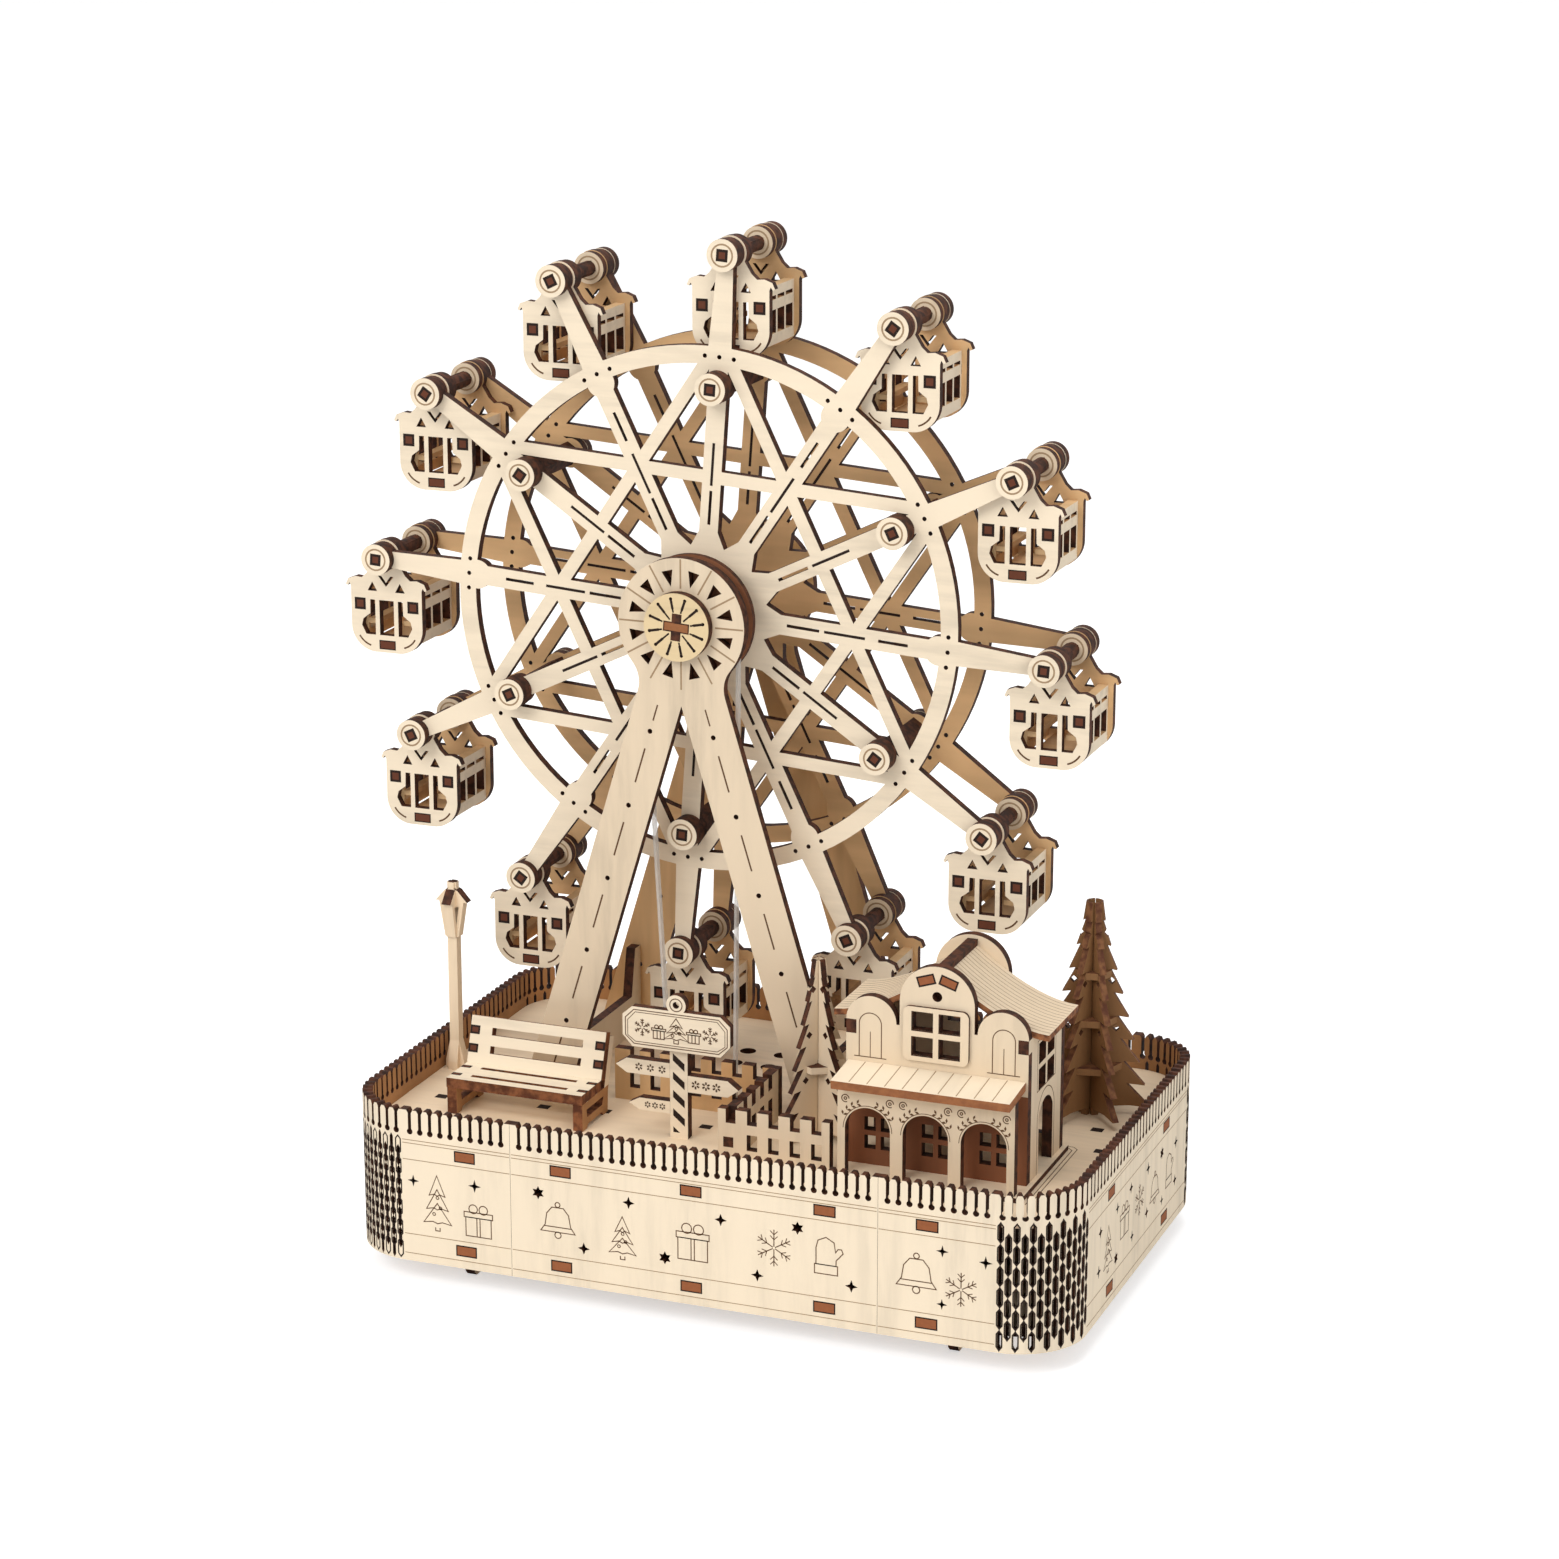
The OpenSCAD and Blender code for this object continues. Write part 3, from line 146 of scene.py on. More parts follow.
class Graph:
    """A node material that is built one node at a time."""

    def __init__(self, name):
        self.material = bpy.data.materials.new(name)
        self.material.use_nodes = True
        self.tree = self.material.node_tree
        self.shader = self.tree.nodes["Principled BSDF"]
        self.coords = self.tree.nodes.new("ShaderNodeTexCoord")

    def add(self, kind, inputs=None, **settings):
        node = self.tree.nodes.new(kind)
        for key, value in settings.items():
            setattr(node, key, value)
        for key, value in (inputs or {}).items():
            self.give(node.inputs[key], value)
        return node

    def give(self, socket, value):
        if isinstance(value, bpy.types.NodeSocket):
            self.tree.links.new(value, socket)
        else:
            socket.default_value = value

    def maths(self, operation, a, b=0.0):
        return self.add("ShaderNodeMath", {0: a, 1: b}, operation=operation).outputs[0]

    def steps(self, value, start, end):
        """0 below start, 1 above end, smooth between them."""
        node = self.add(
            "ShaderNodeMapRange",
            {"Value": value, "From Min": start, "From Max": end},
            interpolation_type="SMOOTHSTEP",
        )
        return node.outputs[0]

    def mix(self, share, a, b):
        node = self.add("ShaderNodeMix", {0: share}, data_type="RGBA")
        self.give(node.inputs[6], a)
        self.give(node.inputs[7], b)
        return node.outputs[2]

    def noise(self, stretch, scale, detail=4.0, roughness=0.55):
        place = self.add(
            "ShaderNodeMapping", {"Vector": self.coords.outputs["Object"], "Scale": stretch}
        )
        node = self.add(
            "ShaderNodeTexNoise",
            {"Vector": place.outputs[0], "Scale": scale, "Detail": detail, "Roughness": roughness},
        )
        return node.outputs["Fac"]

    def parts(self, source):
        """X, Y and Z of an output of the texture coordinates."""
        return self.add("ShaderNodeSeparateXYZ", {0: self.coords.outputs[source]}).outputs

    def along(self, axis):
        """1 where the surface faces along an axis, either way."""
        node = self.add(
            "ShaderNodeVectorMath", {0: self.coords.outputs["Normal"], 1: axis}, operation="DOT_PRODUCT"
        )
        return self.maths("ABSOLUTE", node.outputs["Value"])

    def towards(self, way):
        """1 where the surface faces a way rather than its opposite."""
        node = self.add(
            "ShaderNodeVectorMath", {0: self.coords.outputs["Normal"], 1: way}, operation="DOT_PRODUCT"
        )
        return self.maths("GREATER_THAN", node.outputs["Value"], 0.0)

    def finish(self, colour, roughness, height, strength, distance):
        bump = self.add(
            "ShaderNodeBump", {"Height": height, "Strength": strength, "Distance": distance}
        )
        self.give(self.shader.inputs["Base Color"], colour)
        self.give(self.shader.inputs["Roughness"], roughness)
        self.give(self.shader.inputs["Normal"], bump.outputs[0])
        self.shader.inputs["Specular IOR Level"].default_value = 0.25
        return self.material


def scaled(colour, share):
    return (*(min(1.0, c * share) for c in colour[:3]), 1)


# How finely the marks of the wood and the mottling of the painted shade on backs lie, from the broadest
# to the finest.
CLOUD_SCALE = 38
BACK_MOTTLE_SCALE = 60
FIGURE_SCALE = 260
SCORCH_SCALE = 420
# How rough a cut edge is, and how much smoother a sheet's face is.
EDGE_ROUGHNESS = 0.74
FACE_SMOOTHER = 0.12


def wood(name, face, face_mask, grain, cut=CUT_BROWN, deep=CUT_DARK, back=None, shows=None):
    """Plywood: pale on its faces and burnt brown wherever the beam went through the sheet.

    face_mask builds the share of sheet face, and grain is the stretch of the figure on each axis.
    The burnt edges go from cut to the darker deep. Where shows is 0, a face is a sheet's back,
    turned inward or under something, and takes the colour back: painted shade, in places partly
    also the smoke a laser leaves on a sheet.
    """
    g = Graph(name)
    is_face = g.steps(face_mask(g), 0.80, 0.92)
    figure = g.noise(grain, FIGURE_SCALE, 5.0, 0.6)
    cloud = g.noise(grain, CLOUD_SCALE, 2.0, 0.5)
    shade = g.mix(g.steps(figure, 0.30, 0.62), scaled(face, 0.84), face)
    pale = g.mix(g.steps(cloud, 0.32, 0.70), shade, scaled(face, 1.05))
    # Painted shade: the faces that shows leaves out take the mottled colour back.
    if back:
        back_mottle = g.steps(g.noise(grain, BACK_MOTTLE_SCALE, 4.0), 0.3, 0.7)
        shaded_back = g.mix(back_mottle, scaled(back, 0.72), scaled(back, 1.1))
        pale = g.mix(shows(g), shaded_back, pale)
    scorch = g.noise(EVEN, SCORCH_SCALE, 3.0, 0.5)
    burnt = g.mix(g.steps(scorch, 0.35, 0.68), deep, cut)
    roughness = g.maths("MULTIPLY_ADD", is_face, -FACE_SMOOTHER)
    g.give(roughness.node.inputs[2], EDGE_ROUGHNESS)
    MATERIALS[name] = g.finish(g.mix(is_face, burnt, pale), roughness, figure, 0.10, 0.0003)


def sheet(axis):
    """The faces of a flat sheet that stands across an axis."""
    return lambda g: g.along(axis)


def facing(way):
    """Whichever of a sheet's two faces looks a way."""
    return lambda g: g.towards(way)


def wall_facing(g):
    """1 where a wall that runs round the corners of the box faces outwards, -1 where it faces in."""
    place = g.parts("Object")
    out = []
    for k, half in enumerate((HALF_W - CORNER_R, HALF_D - CORNER_R)):
        shifted = g.maths("SUBTRACT", place[k], BASE[k] * MM)
        past = g.maths("MAXIMUM", g.maths("SUBTRACT", g.maths("ABSOLUTE", shifted), half * MM), 0.0)
        out.append(g.maths("MULTIPLY", past, g.maths("SIGN", shifted)))
    outward = g.add("ShaderNodeCombineXYZ", {0: out[0], 1: out[1], 2: 0.0})
    unit = g.add("ShaderNodeVectorMath", {0: outward.outputs[0]}, operation="NORMALIZE")
    node = g.add(
        "ShaderNodeVectorMath",
        {0: unit.outputs[0], 1: g.coords.outputs["Normal"]},
        operation="DOT_PRODUCT",
    )
    return node.outputs["Value"]


def bent_wall(g):
    """Both faces of a wall that runs round the corners."""
    return g.maths("ABSOLUTE", wall_facing(g))


def wall_shows(g):
    """The outer face of a wall that runs round the corners."""
    return g.maths("GREATER_THAN", wall_facing(g), 0.0)


def above_awning(g):
    """The front of the house, except what stands in the shade behind the arcade."""
    upper = g.maths("GREATER_THAN", g.parts("Object")[2], (low("house_awning").z - 0.5) * MM)
    return g.maths("MULTIPLY", upper, g.towards(FRONT))


def cabin_faces(g):
    """The two end boards face front and back; the boards between them face the other ways."""
    y = g.parts("Object")[1]
    depth = THIN_SHEET + FIT
    past_front = g.maths("GREATER_THAN", y, (low("cabin_01").y + depth) * MM)
    before_rear = g.maths("LESS_THAN", y, (high("cabin_01").y - depth) * MM)
    inside = g.maths("MULTIPLY", past_front, before_rear)
    end_faces = g.along(Y_AXIS)
    flat = g.maths("MAXIMUM", g.along(X_AXIS), g.along(Z_AXIS))
    inner_faces = g.maths("MULTIPLY", inside, flat)
    outer_faces = g.maths("MULTIPLY", g.maths("SUBTRACT", 1.0, inside), end_faces)
    return g.maths("ADD", inner_faces, outer_faces)


def cabin_shows(g):
    """The outer sides of the two end boards and of the slatted sides."""
    y = g.parts("Object")[1]
    skin = 1
    front = g.maths("LESS_THAN", y, (low("cabin_01").y + skin) * MM)
    rear = g.maths("GREATER_THAN", y, (high("cabin_01").y - skin) * MM)
    from_middle = g.maths("ABSOLUTE", g.maths("SUBTRACT", g.parts("Generated")[0], 0.5))
    slats_begin = 0.33
    outer = g.maths("MULTIPLY", g.maths("GREATER_THAN", from_middle, slats_begin), g.along(X_AXIS))
    return g.maths("MAXIMUM", g.maths("MAXIMUM", front, rear), g.steps(outer, 0.4, 0.6))


def bench_faces(g):
    """The seat lies flat, the back board leans back and the frames stand across."""
    place = g.parts("Object")
    lean = math.radians(BENCH_LEAN)
    slack = 0.02
    tab_proud = 0.2
    board_dips = 1.2
    over = g.maths("SUBTRACT", place[2], SEAT_TOP * MM)
    behind = g.maths("SUBTRACT", place[1], SEAT_REAR * MM)
    level = g.maths("MULTIPLY", behind, math.cos(lean))
    depth = g.maths("SUBTRACT", level, g.maths("MULTIPLY", over, math.sin(lean)))
    past_front = g.maths("GREATER_THAN", depth, -tab_proud * MM)
    before_rear = g.maths("LESS_THAN", depth, (SHEET + slack) * MM)
    board = g.maths("MULTIPLY", past_front, before_rear)
    board = g.maths("MULTIPLY", board, g.maths("GREATER_THAN", over, -board_dips * MM))
    in_seat = g.maths("GREATER_THAN", over, -(SHEET + slack) * MM)
    seat = g.maths("MULTIPLY", in_seat, g.maths("LESS_THAN", behind, -slack * MM))
    rest = g.maths("SUBTRACT", 1.0, g.maths("MAXIMUM", board, seat))
    board_face = g.maths("MULTIPLY", board, g.along((0, -math.cos(lean), math.sin(lean))))
    seat_face = g.maths("MULTIPLY", seat, g.along(Z_AXIS))
    rest_face = g.maths("MULTIPLY", rest, g.along(X_AXIS))
    return g.maths("ADD", board_face, g.maths("ADD", seat_face, rest_face))


def above_frames(g):
    """1 on the bench's seat and back, 0 on the frames under the seat."""
    return g.maths("GREATER_THAN", g.parts("Object")[2], (SEAT_TOP - SHEET - FIT) * MM)


def lamp_faces(g):
    """The lamp's two boards cross, so one has its faces to the front and the other to the side."""
    return g.maths("MAXIMUM", g.along(Y_AXIS), g.along(X_AXIS))


def roof_faces(g):
    """Everything except the ends of the two roof sheets and their eaves."""
    across = g.maths("SUBTRACT", 1.0, g.along(Y_AXIS))
    return g.maths("MULTIPLY", across, g.steps(g.along(X_AXIS), 0.93, 0.90))


def awning_faces(g):
    """The two faces of the board that slopes down to the front."""
    slope = math.radians(AWNING_SLOPE)
    return g.along((0, -math.sin(slope), math.cos(slope)))


def fin_faces(g):
    """The fins stand upright round the trunk, so their wide faces look level."""
    return g.steps(g.along(Z_AXIS), 0.12, 0.02)


def plain_cut(g):
    """No face at all, for pieces that are burnt all round."""
    return g.maths("MULTIPLY", g.along(Z_AXIS), 0.0)


# Materials given a back colour paint shade on the faces that their shows mask leaves out. These are the
# backs and inner faces of sheets, the cabins' insides, the undersides of the deck and floor, the walls'
# inner faces, the house front behind the arcade and the bench frames under the seat.
wood("birch_front", BIRCH, sheet(Y_AXIS), ALONG_X, back=BIRCH_BACK_SHADE, shows=facing(FRONT))
wood("birch_rear", BIRCH, sheet(Y_AXIS), ALONG_X, back=BIRCH_BACK_SHADE, shows=facing(REAR))
wood("birch_warm", BIRCH_WARM, sheet(Y_AXIS), ALONG_Z, back=BIRCH_BACK_SHADE, shows=facing(FRONT))
wood("birch_warm_rear", BIRCH_WARM, sheet(Y_AXIS), ALONG_Z, back=BIRCH_BACK_SHADE, shows=facing(REAR))
wood("birch_plain", BIRCH, sheet(Y_AXIS), ALONG_X)
wood("birch_side", BIRCH_WARM, sheet(X_AXIS), ALONG_Z)
wood("birch_flat", BIRCH_TAN, sheet(Z_AXIS), ALONG_X, back=BIRCH_BACK_SHADE, shows=facing(UP))
wood("birch_walls", BIRCH, bent_wall, ALONG_Z, back=BIRCH_SMOKE_AND_SHADE, shows=wall_shows)
wood("birch_house", BIRCH_WARM, sheet(Y_AXIS), ALONG_Z, back=BIRCH_SHADE, shows=above_awning)
wood("birch_pale", BIRCH_WARM, sheet(Y_AXIS), ALONG_Z)
wood("birch_cabins", BIRCH, cabin_faces, ALONG_X, back=BIRCH_BACK_SHADE, shows=cabin_shows)
wood("birch_bench", BIRCH, bench_faces, ALONG_X, CUT_FRAME, CUT_BROWN, BIRCH_SMOKE_AND_SHADE, above_frames)
wood("birch_lamp", BIRCH_TAN, lamp_faces, ALONG_Z)
wood("birch_roof", BIRCH_WARM, roof_faces, ALONG_X, CUT_LIGHT, CUT_BROWN)
wood("birch_awning", BIRCH, awning_faces, ALONG_Y, CUT_LIGHT, CUT_FRAME)
wood("axle_wood", BIRCH_WARM, sheet(Y_AXIS), ALONG_Y)
wood("burnt", CUT_BROWN, plain_cut, ALONG_Z)
wood("birch_disc", BIRCH_DISC, sheet(Y_AXIS), ALONG_X)
wood("pulley_wood", PULLEY_BROWN, sheet(Y_AXIS), ALONG_X)
wood("tree_small", BIRCH_WARM, fin_faces, ALONG_Z)
wood("tree_large", TREE_TAN, fin_faces, ALONG_Z, TREE_EDGE, CUT_BROWN)


def band_material(name):
    """The clear stretchy band that turns the wheel."""
    g = Graph(name)
    haze = g.noise(EVEN, 300, 2.0)
    g.shader.inputs["Alpha"].default_value = 0.5
    g.shader.inputs["IOR"].default_value = 1.45
    MATERIALS[name] = g.finish(g.mix(haze, BAND_GREY, BAND_PALE), 0.35, haze, 0.05, 0.0001)


def line_material(name, colour):
    """A line drawn by a weak beam: brown, a little uneven."""
    g = Graph(name)
    uneven = g.noise(EVEN, 900, 2.0)
    MATERIALS[name] = g.finish(g.mix(uneven, scaled(colour, 0.7), colour), 0.8, uneven, 0.1, 0.0001)


band_material("clear_band")
line_material("engraved", LINE_BROWN)
line_material("faint", LINE_FAINT)
line_material("slot_dark", SLOT_DARK)
line_material("tab_end", TAB_BROWN)
line_material("tab_light", TAB_LIGHT)
line_material("board_end", CUT_LIGHT)

FINISH = {
    "birch_front": ["wheel_front", "sign_post", "sign_board", "direction_arrows"],
    "birch_rear": ["wheel_rear"],
    "birch_plain": ["cabin_caps", "inner_caps"],
    "birch_disc": ["hub_discs"],
    "birch_warm": ["front_stand", "bearing_boards", "front_fence", "house_arcade", "house_window"],
    "birch_house": ["house_front"],
    "birch_pale": ["house_rear"],
    "birch_warm_rear": ["rear_stand", "rear_fence", "crank_arm"],
    "birch_side": ["gussets", "side_fence", "house_sides", "feet"],
    "birch_flat": ["deck_plate", "floor_plate", "house_plinth"],
    "birch_walls": ["wall_front", "wall_back", "wall_left", "wall_right"],
    "birch_cabins": [f"cabin_{i:02d}" for i in range(1, CABINS + 1)],
    "birch_bench": ["bench"],
    "birch_lamp": ["street_lamp"],
    "birch_roof": ["house_roof"],
    "birch_awning": ["house_awning"],
    "axle_wood": ["cabin_axles", "spacer_bars", "crank_knob", "crank_shaft"],
    "burnt": ["shaft_boards", "house_ridge"],
    "pulley_wood": ["drive_pulley", "crank_pulley", "shaft_bushes"],
    "tree_small": ["small_tree"],
    "tree_large": ["large_tree"],
    "clear_band": ["belt"],
}
for finish, nodes in FINISH.items():
    for node in nodes:
        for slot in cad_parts[node].material_slots:
            slot.material = MATERIALS[finish]


# Engraved lines and inlays


def box_corners(centre, size, turn):
    """The corners of a box that is turned anticlockwise about its centre, in degrees."""
    c = math.cos(math.radians(turn))
    s = math.sin(math.radians(turn))
    corners = []
    for u_side, v_side in ((-1, -1), (1, -1), (1, 1), (-1, 1)):
        u = u_side * size[0] / 2
        v = v_side * size[1] / 2
        corners.append((centre[0] + u * c - v * s, centre[1] + u * s + v * c))
    return corners


class Inlay:
    """Thin closed strips and plates laid into a sheet's face, so that they stand only just proud."""

    SUNK = 0.04
    PROUD = 0.03
    SLOT = "burnt_plywood"

    def __init__(self, name, body, finish):
        self.name = name
        self.body = body
        self.finishes = [finish]
        self.current = 0
        self.mesh = bmesh.new()

    def use(self, finish):
        """What is drawn from here on has this finish."""
        if finish not in self.finishes:
            self.finishes.append(finish)
        self.current = self.finishes.index(finish)

    def face(self, corners):
        self.mesh.faces.new(corners).material_index = self.current

    def row(self, points, height, place):
        """New corners at a height over the sheet's face."""
        return [self.mesh.verts.new(place(u, v, height) * MM) for u, v in points]

    def prism(self, left, right, place, closed):
        """A strip between two rows of points, with its top, underside, sides and ends."""
        rows = []
        for a, b in zip(left, right):
            corners = [(*a, -self.SUNK), (*b, -self.SUNK), (*b, self.PROUD), (*a, self.PROUD)]
            rows.append([self.mesh.verts.new(place(*c) * MM) for c in corners])
        count = len(rows)
        for i in range(count if closed else count - 1):
            near, far = rows[i], rows[(i + 1) % count]
            for k in range(4):
                self.face((near[k], near[(k + 1) % 4], far[(k + 1) % 4], far[k]))
        if not closed:
            self.face(rows[0])
            self.face(rows[-1][::-1])

    def line(self, points, place, width=0.35, closed=False):
        """A strip of even width along a row of points, with mitred bends."""
        points = [Vector(p) for p in points]
        count = len(points)
        left, right = [], []
        for i, p in enumerate(points):
            before = points[i - 1] if closed or i > 0 else None
            after = points[(i + 1) % count] if closed or i < count - 1 else None
            sides = []
            for a, b in ((before, p), (p, after)):
                if a is not None and b is not None:
                    run = (b - a).normalized()
                    sides.append(Vector((-run.y, run.x)))
            side = sum(sides, Vector((0, 0))).normalized()
            reach = width / 2 / max(0.5, side.dot(sides[0]))
            left.append(p + side * reach)
            right.append(p - side * reach)
        self.prism(left, right, place, closed)

    def arc(self, centre, r, start, end, place, width=0.35, steps=16):
        """Angles are in degrees, anticlockwise from the right. A whole turn is closed."""
        whole = abs(end - start) >= 360
        count = steps if whole else steps + 1
        points = []
        for i in range(count):
            a = math.radians(start + (end - start) * i / steps)
            points.append((centre[0] + r * math.cos(a), centre[1] + r * math.sin(a)))
        self.line(points, place, width, closed=whole)

    def plate(self, outline, place):
        """A filled flat shape. Its outline is convex."""
        under = self.row(outline, -self.SUNK, place)
        over = self.row(outline, self.PROUD, place)
        count = len(outline)
        self.face(under[::-1])
        self.face(over)
        for i in range(count):
            j = (i + 1) % count
            self.face((under[i], under[j], over[j], over[i]))

    def box(self, centre, size, place, turn=0.0):
        self.plate(box_corners(centre, size, turn), place)

    def tenon(self, centre, size, place, turn=0.0, gap=0.35, finish="tab_end"):
        """The burnt end of a tab in its slot, with the dark gap round it."""
        self.use("slot_dark")
        self.line(box_corners(centre, size, turn), place, gap, closed=True)
        self.use(finish)
        self.box(centre, (size[0] - gap, size[1] - gap), place, turn)

    def done(self):
        bmesh.ops.recalc_face_normals(self.mesh, faces=self.mesh.faces)
        data = bpy.data.meshes.new(self.name)
        self.mesh.to_mesh(data)
        self.mesh.free()
        for finish in self.finishes:
            data.materials.append(MATERIALS[finish])
        piece = bpy.data.objects.new(self.name, data)
        bpy.context.scene.collection.objects.link(piece)
        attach(piece, self.body)


# Each place function takes a point on a drawing and its height over the sheet to a point in space.


def facing_front(y):
    return lambda u, v, h: Vector((u, y - h, v))


def facing_back(y):
    return lambda u, v, h: Vector((u, y + h, v))


def facing_right(x):
    return lambda u, v, h: Vector((x + h, u, v))


def facing_left(x):
    return lambda u, v, h: Vector((x - h, u, v))


def facing_up(z):
    return lambda u, v, h: Vector((u, v, z + h))


def on_dial(y, angle, back=False):
    """A face of a wheel part, its drawing turned clockwise by an angle about the wheel's axis."""
    c = math.cos(math.radians(angle))
    s = math.sin(math.radians(angle))
    way = 1 if back else -1
    return lambda u, v, h: Vector((AXIS.x + u * c + v * s, y + way * h, AXIS.z - u * s + v * c))


def read_from_outside(place, centre, way):
    """A wall's face with the drawing centred on it and its right end on the outer reader's right."""
    return lambda u, v, h: place(centre + way * u, v, h)


def moved(place, du, dv):
    """The same face with the drawing shifted on it."""
    return lambda u, v, h: place(u + du, v + dv, h)


# Widths of the lines: in the pictures, in their fine parts, on wheel, stands and cabins, and between
# boards. A wall's long faint lines are the thinnest.
PEN = 0.3
FINE_PEN = 0.25
BOLD_PEN = 0.5
BOARD_PEN = 0.28
RULE_PEN = 0.22

# Small pictures of winter things. Each stands on the middle of its foot, apart from the star shapes.


def draw_fir(ink, place, height):
    """Three tiers with hooked ends, a trunk and three baubles."""
    third = height / 3.4
    for tier in range(3):
        top = height - tier * third * 0.85
        reach = 1.5 + 0.95 * tier + height * 0.06
        foot = top - third * 1.25
        hook = foot + 0.5
        outline = [(-reach, foot), (0, top), (reach, foot), (reach * 0.35, hook), (0, foot),
                   (-reach * 0.35, hook)]
        ink.line(outline, place, PEN, closed=True)
    trunk = 0.7
    ink.line([(-trunk, 1.0), (-trunk, 0), (trunk, 0), (trunk, 1.0)], place, PEN)
    for u, share in ((-1.1, 0.30), (1.0, 0.42), (0.1, 0.60)):
        ink.arc((u, height * share), 0.45, 0, 360, place, FINE_PEN, 8)


def draw_gift(ink, place, side):
    """A parcel with its ribbon, its lid and the two loops of its bow."""
    half = side / 2
    lid_low = side * 0.72
    lid_high = side * 0.92
    lip = 0.5
    ink.line([(-half, 0), (half, 0), (half, lid_low), (-half, lid_low)], place, PEN, closed=True)
    for u in (-0.5, 0.5):
        ink.line([(u, 0), (u, lid_low)], place, PEN)
    lid = [(-half - lip, lid_low), (half + lip, lid_low), (half + lip, lid_high), (-half - lip, lid_high)]
    ink.line(lid, place, PEN, closed=True)
    for way in (-1, 1):
        ink.arc((way * side * 0.2, side * 1.05), side * 0.17, 0, 360, place, PEN, 12)


def draw_bell(ink, place, height):
    """Both sides are drawn from one half, whose points are shares of the radius and the height."""
    r = height * 0.36
    half = [(0.45, 0.84), (0.86, 0.66), (1, 0.34), (1.35, 0.16)]
    right = [(r * across, height * up) for across, up in half]
    left = [(-u, v) for u, v in reversed(right)]
    ink.line(left + right, place, PEN, closed=True)
    ink.line([(-r * 1.08, height * 0.30), (r * 1.08, height * 0.30)], place, PEN)
    ink.arc((0, height * 0.08), height * 0.09, 0, 360, place, PEN, 10)
    ink.arc((0, height * 0.92), height * 0.07, 0, 360, place, PEN, 10)


def draw_snowflake(ink, place, r):
    """Six arms with two pairs of side branches each, about the middle."""
    for i in range(6):
        a = math.radians(60 * i + 30)
        run = Vector((math.cos(a), math.sin(a)))
        side = Vector((-math.sin(a), math.cos(a)))
        ink.line([run * 0.4, run * r], place, PEN)
        for at in (0.45, 0.72):
            for way in (-1, 1):
                tip = run * r * (at + 0.2) + side * way * r * 0.2
                ink.line([run * r * at, tip], place, FINE_PEN)


def draw_mitten(ink, place, height):
    """A hand with its thumb on a cuff. The points are shares of the half width and the height."""
    w = height * 0.27
    hand = [(-1, 0.25), (1, 0.25), (1, 0.40), (1.7, 0.62), (1.55, 0.72), (1.2, 0.72), (0.95, 0.62),
            (0.8, 0.88), (0, 1), (-0.8, 0.9), (-1, 0.7)]
    cuff = [(-1.15, 0), (1.15, 0), (1.15, 0.25), (-1.15, 0.25)]
    for outline in (hand, cuff):
        ink.line([(w * across, height * up) for across, up in outline], place, PEN, closed=True)


def draw_spark(ink, place, reach):
    """A small dark star with four points."""
    waist = reach * 0.3
    ink.use("slot_dark")
    ink.plate([(-reach, 0), (0, -waist), (reach, 0), (0, waist)], place)
    ink.plate([(0, -reach), (waist, 0), (0, reach), (-waist, 0)], place)
    ink.use("engraved")


PICTURES = {
    "fir": draw_fir,
    "gift": draw_gift,
    "bell": draw_bell,
    "flake": draw_snowflake,
    "mitten": draw_mitten,
    "spark": draw_spark,
}


def draw_pictures(ink, place, pictures):
    for kind, u, v, size in pictures:
        PICTURES[kind](ink, moved(place, u, v), size)


# Base box: pictures, tab ends and faint lines along the walls, and scorched slots in the corners.
# Each picture's place along the wall from its middle, its foot's height and its size.
LONG_WALL = [
    ("gift", 0.5, 20.5, 9), ("fir", -21, 17.5, 13), ("bell", -41, 21, 11), ("flake", 25, 28, 5.5),
    ("mitten", 40.5, 22.5, 11), ("fir", -79, 17.5, 17), ("gift", -66, 17.5, 8), ("bell", 67, 21, 12),
    ("flake", 80, 24, 5), ("spark", -86.5, 32, 1.8), ("spark", -67, 33, 2), ("spark", 74.5, 34.5, 1.8),
    ("spark", 74.5, 18.8, 1.6), ("spark", 87, 33, 2),
]
SIDE_WALL = [
    ("fir", -30, 18, 14), ("gift", -14, 23, 8), ("flake", 1, 28, 4.8), ("bell", 17, 21, 10),
    ("mitten", 32, 21, 10), ("spark", -39, 21.5, 2), ("spark", -21.5, 34, 1.8), ("spark", -6, 19.5, 1.8),
    ("spark", 9.5, 34.5, 2), ("spark", 25, 18.8, 1.6), ("spark", 39, 32, 2),
]
# Heights of the faint lines that run along a wall beside the deck and the floor.
WALL_RULES = (44.4, 43.4, 38.4, 15.4, 9.4)
RULE_INSET = 0.3
# Places of the tabs of deck and floor along a wall, their width and the dark gap round them.
LONG_TABS = (-70, -40, 0, 40, 70)
SIDE_TABS = (-28, 28)
TAB_W = 6.2
TAB_GAP = 0.4


def draw_wall(ink, rule, place, runs, pictures, tabs):
    """runs are the flat stretches of the wall between its seams and corners."""
    for start, end in runs:
        for z in WALL_RULES:
            rule.line([(start + RULE_INSET, z), (end - RULE_INSET, z)], place, RULE_PEN)
    draw_pictures(ink, place, pictures)
    for u in tabs:
        for plate in ("deck_plate", "floor_plate"):
            ink.tenon((u, middle(plate).z), (TAB_W, SHEET), place, 0, TAB_GAP, "tab_light")
    ink.use("engraved")


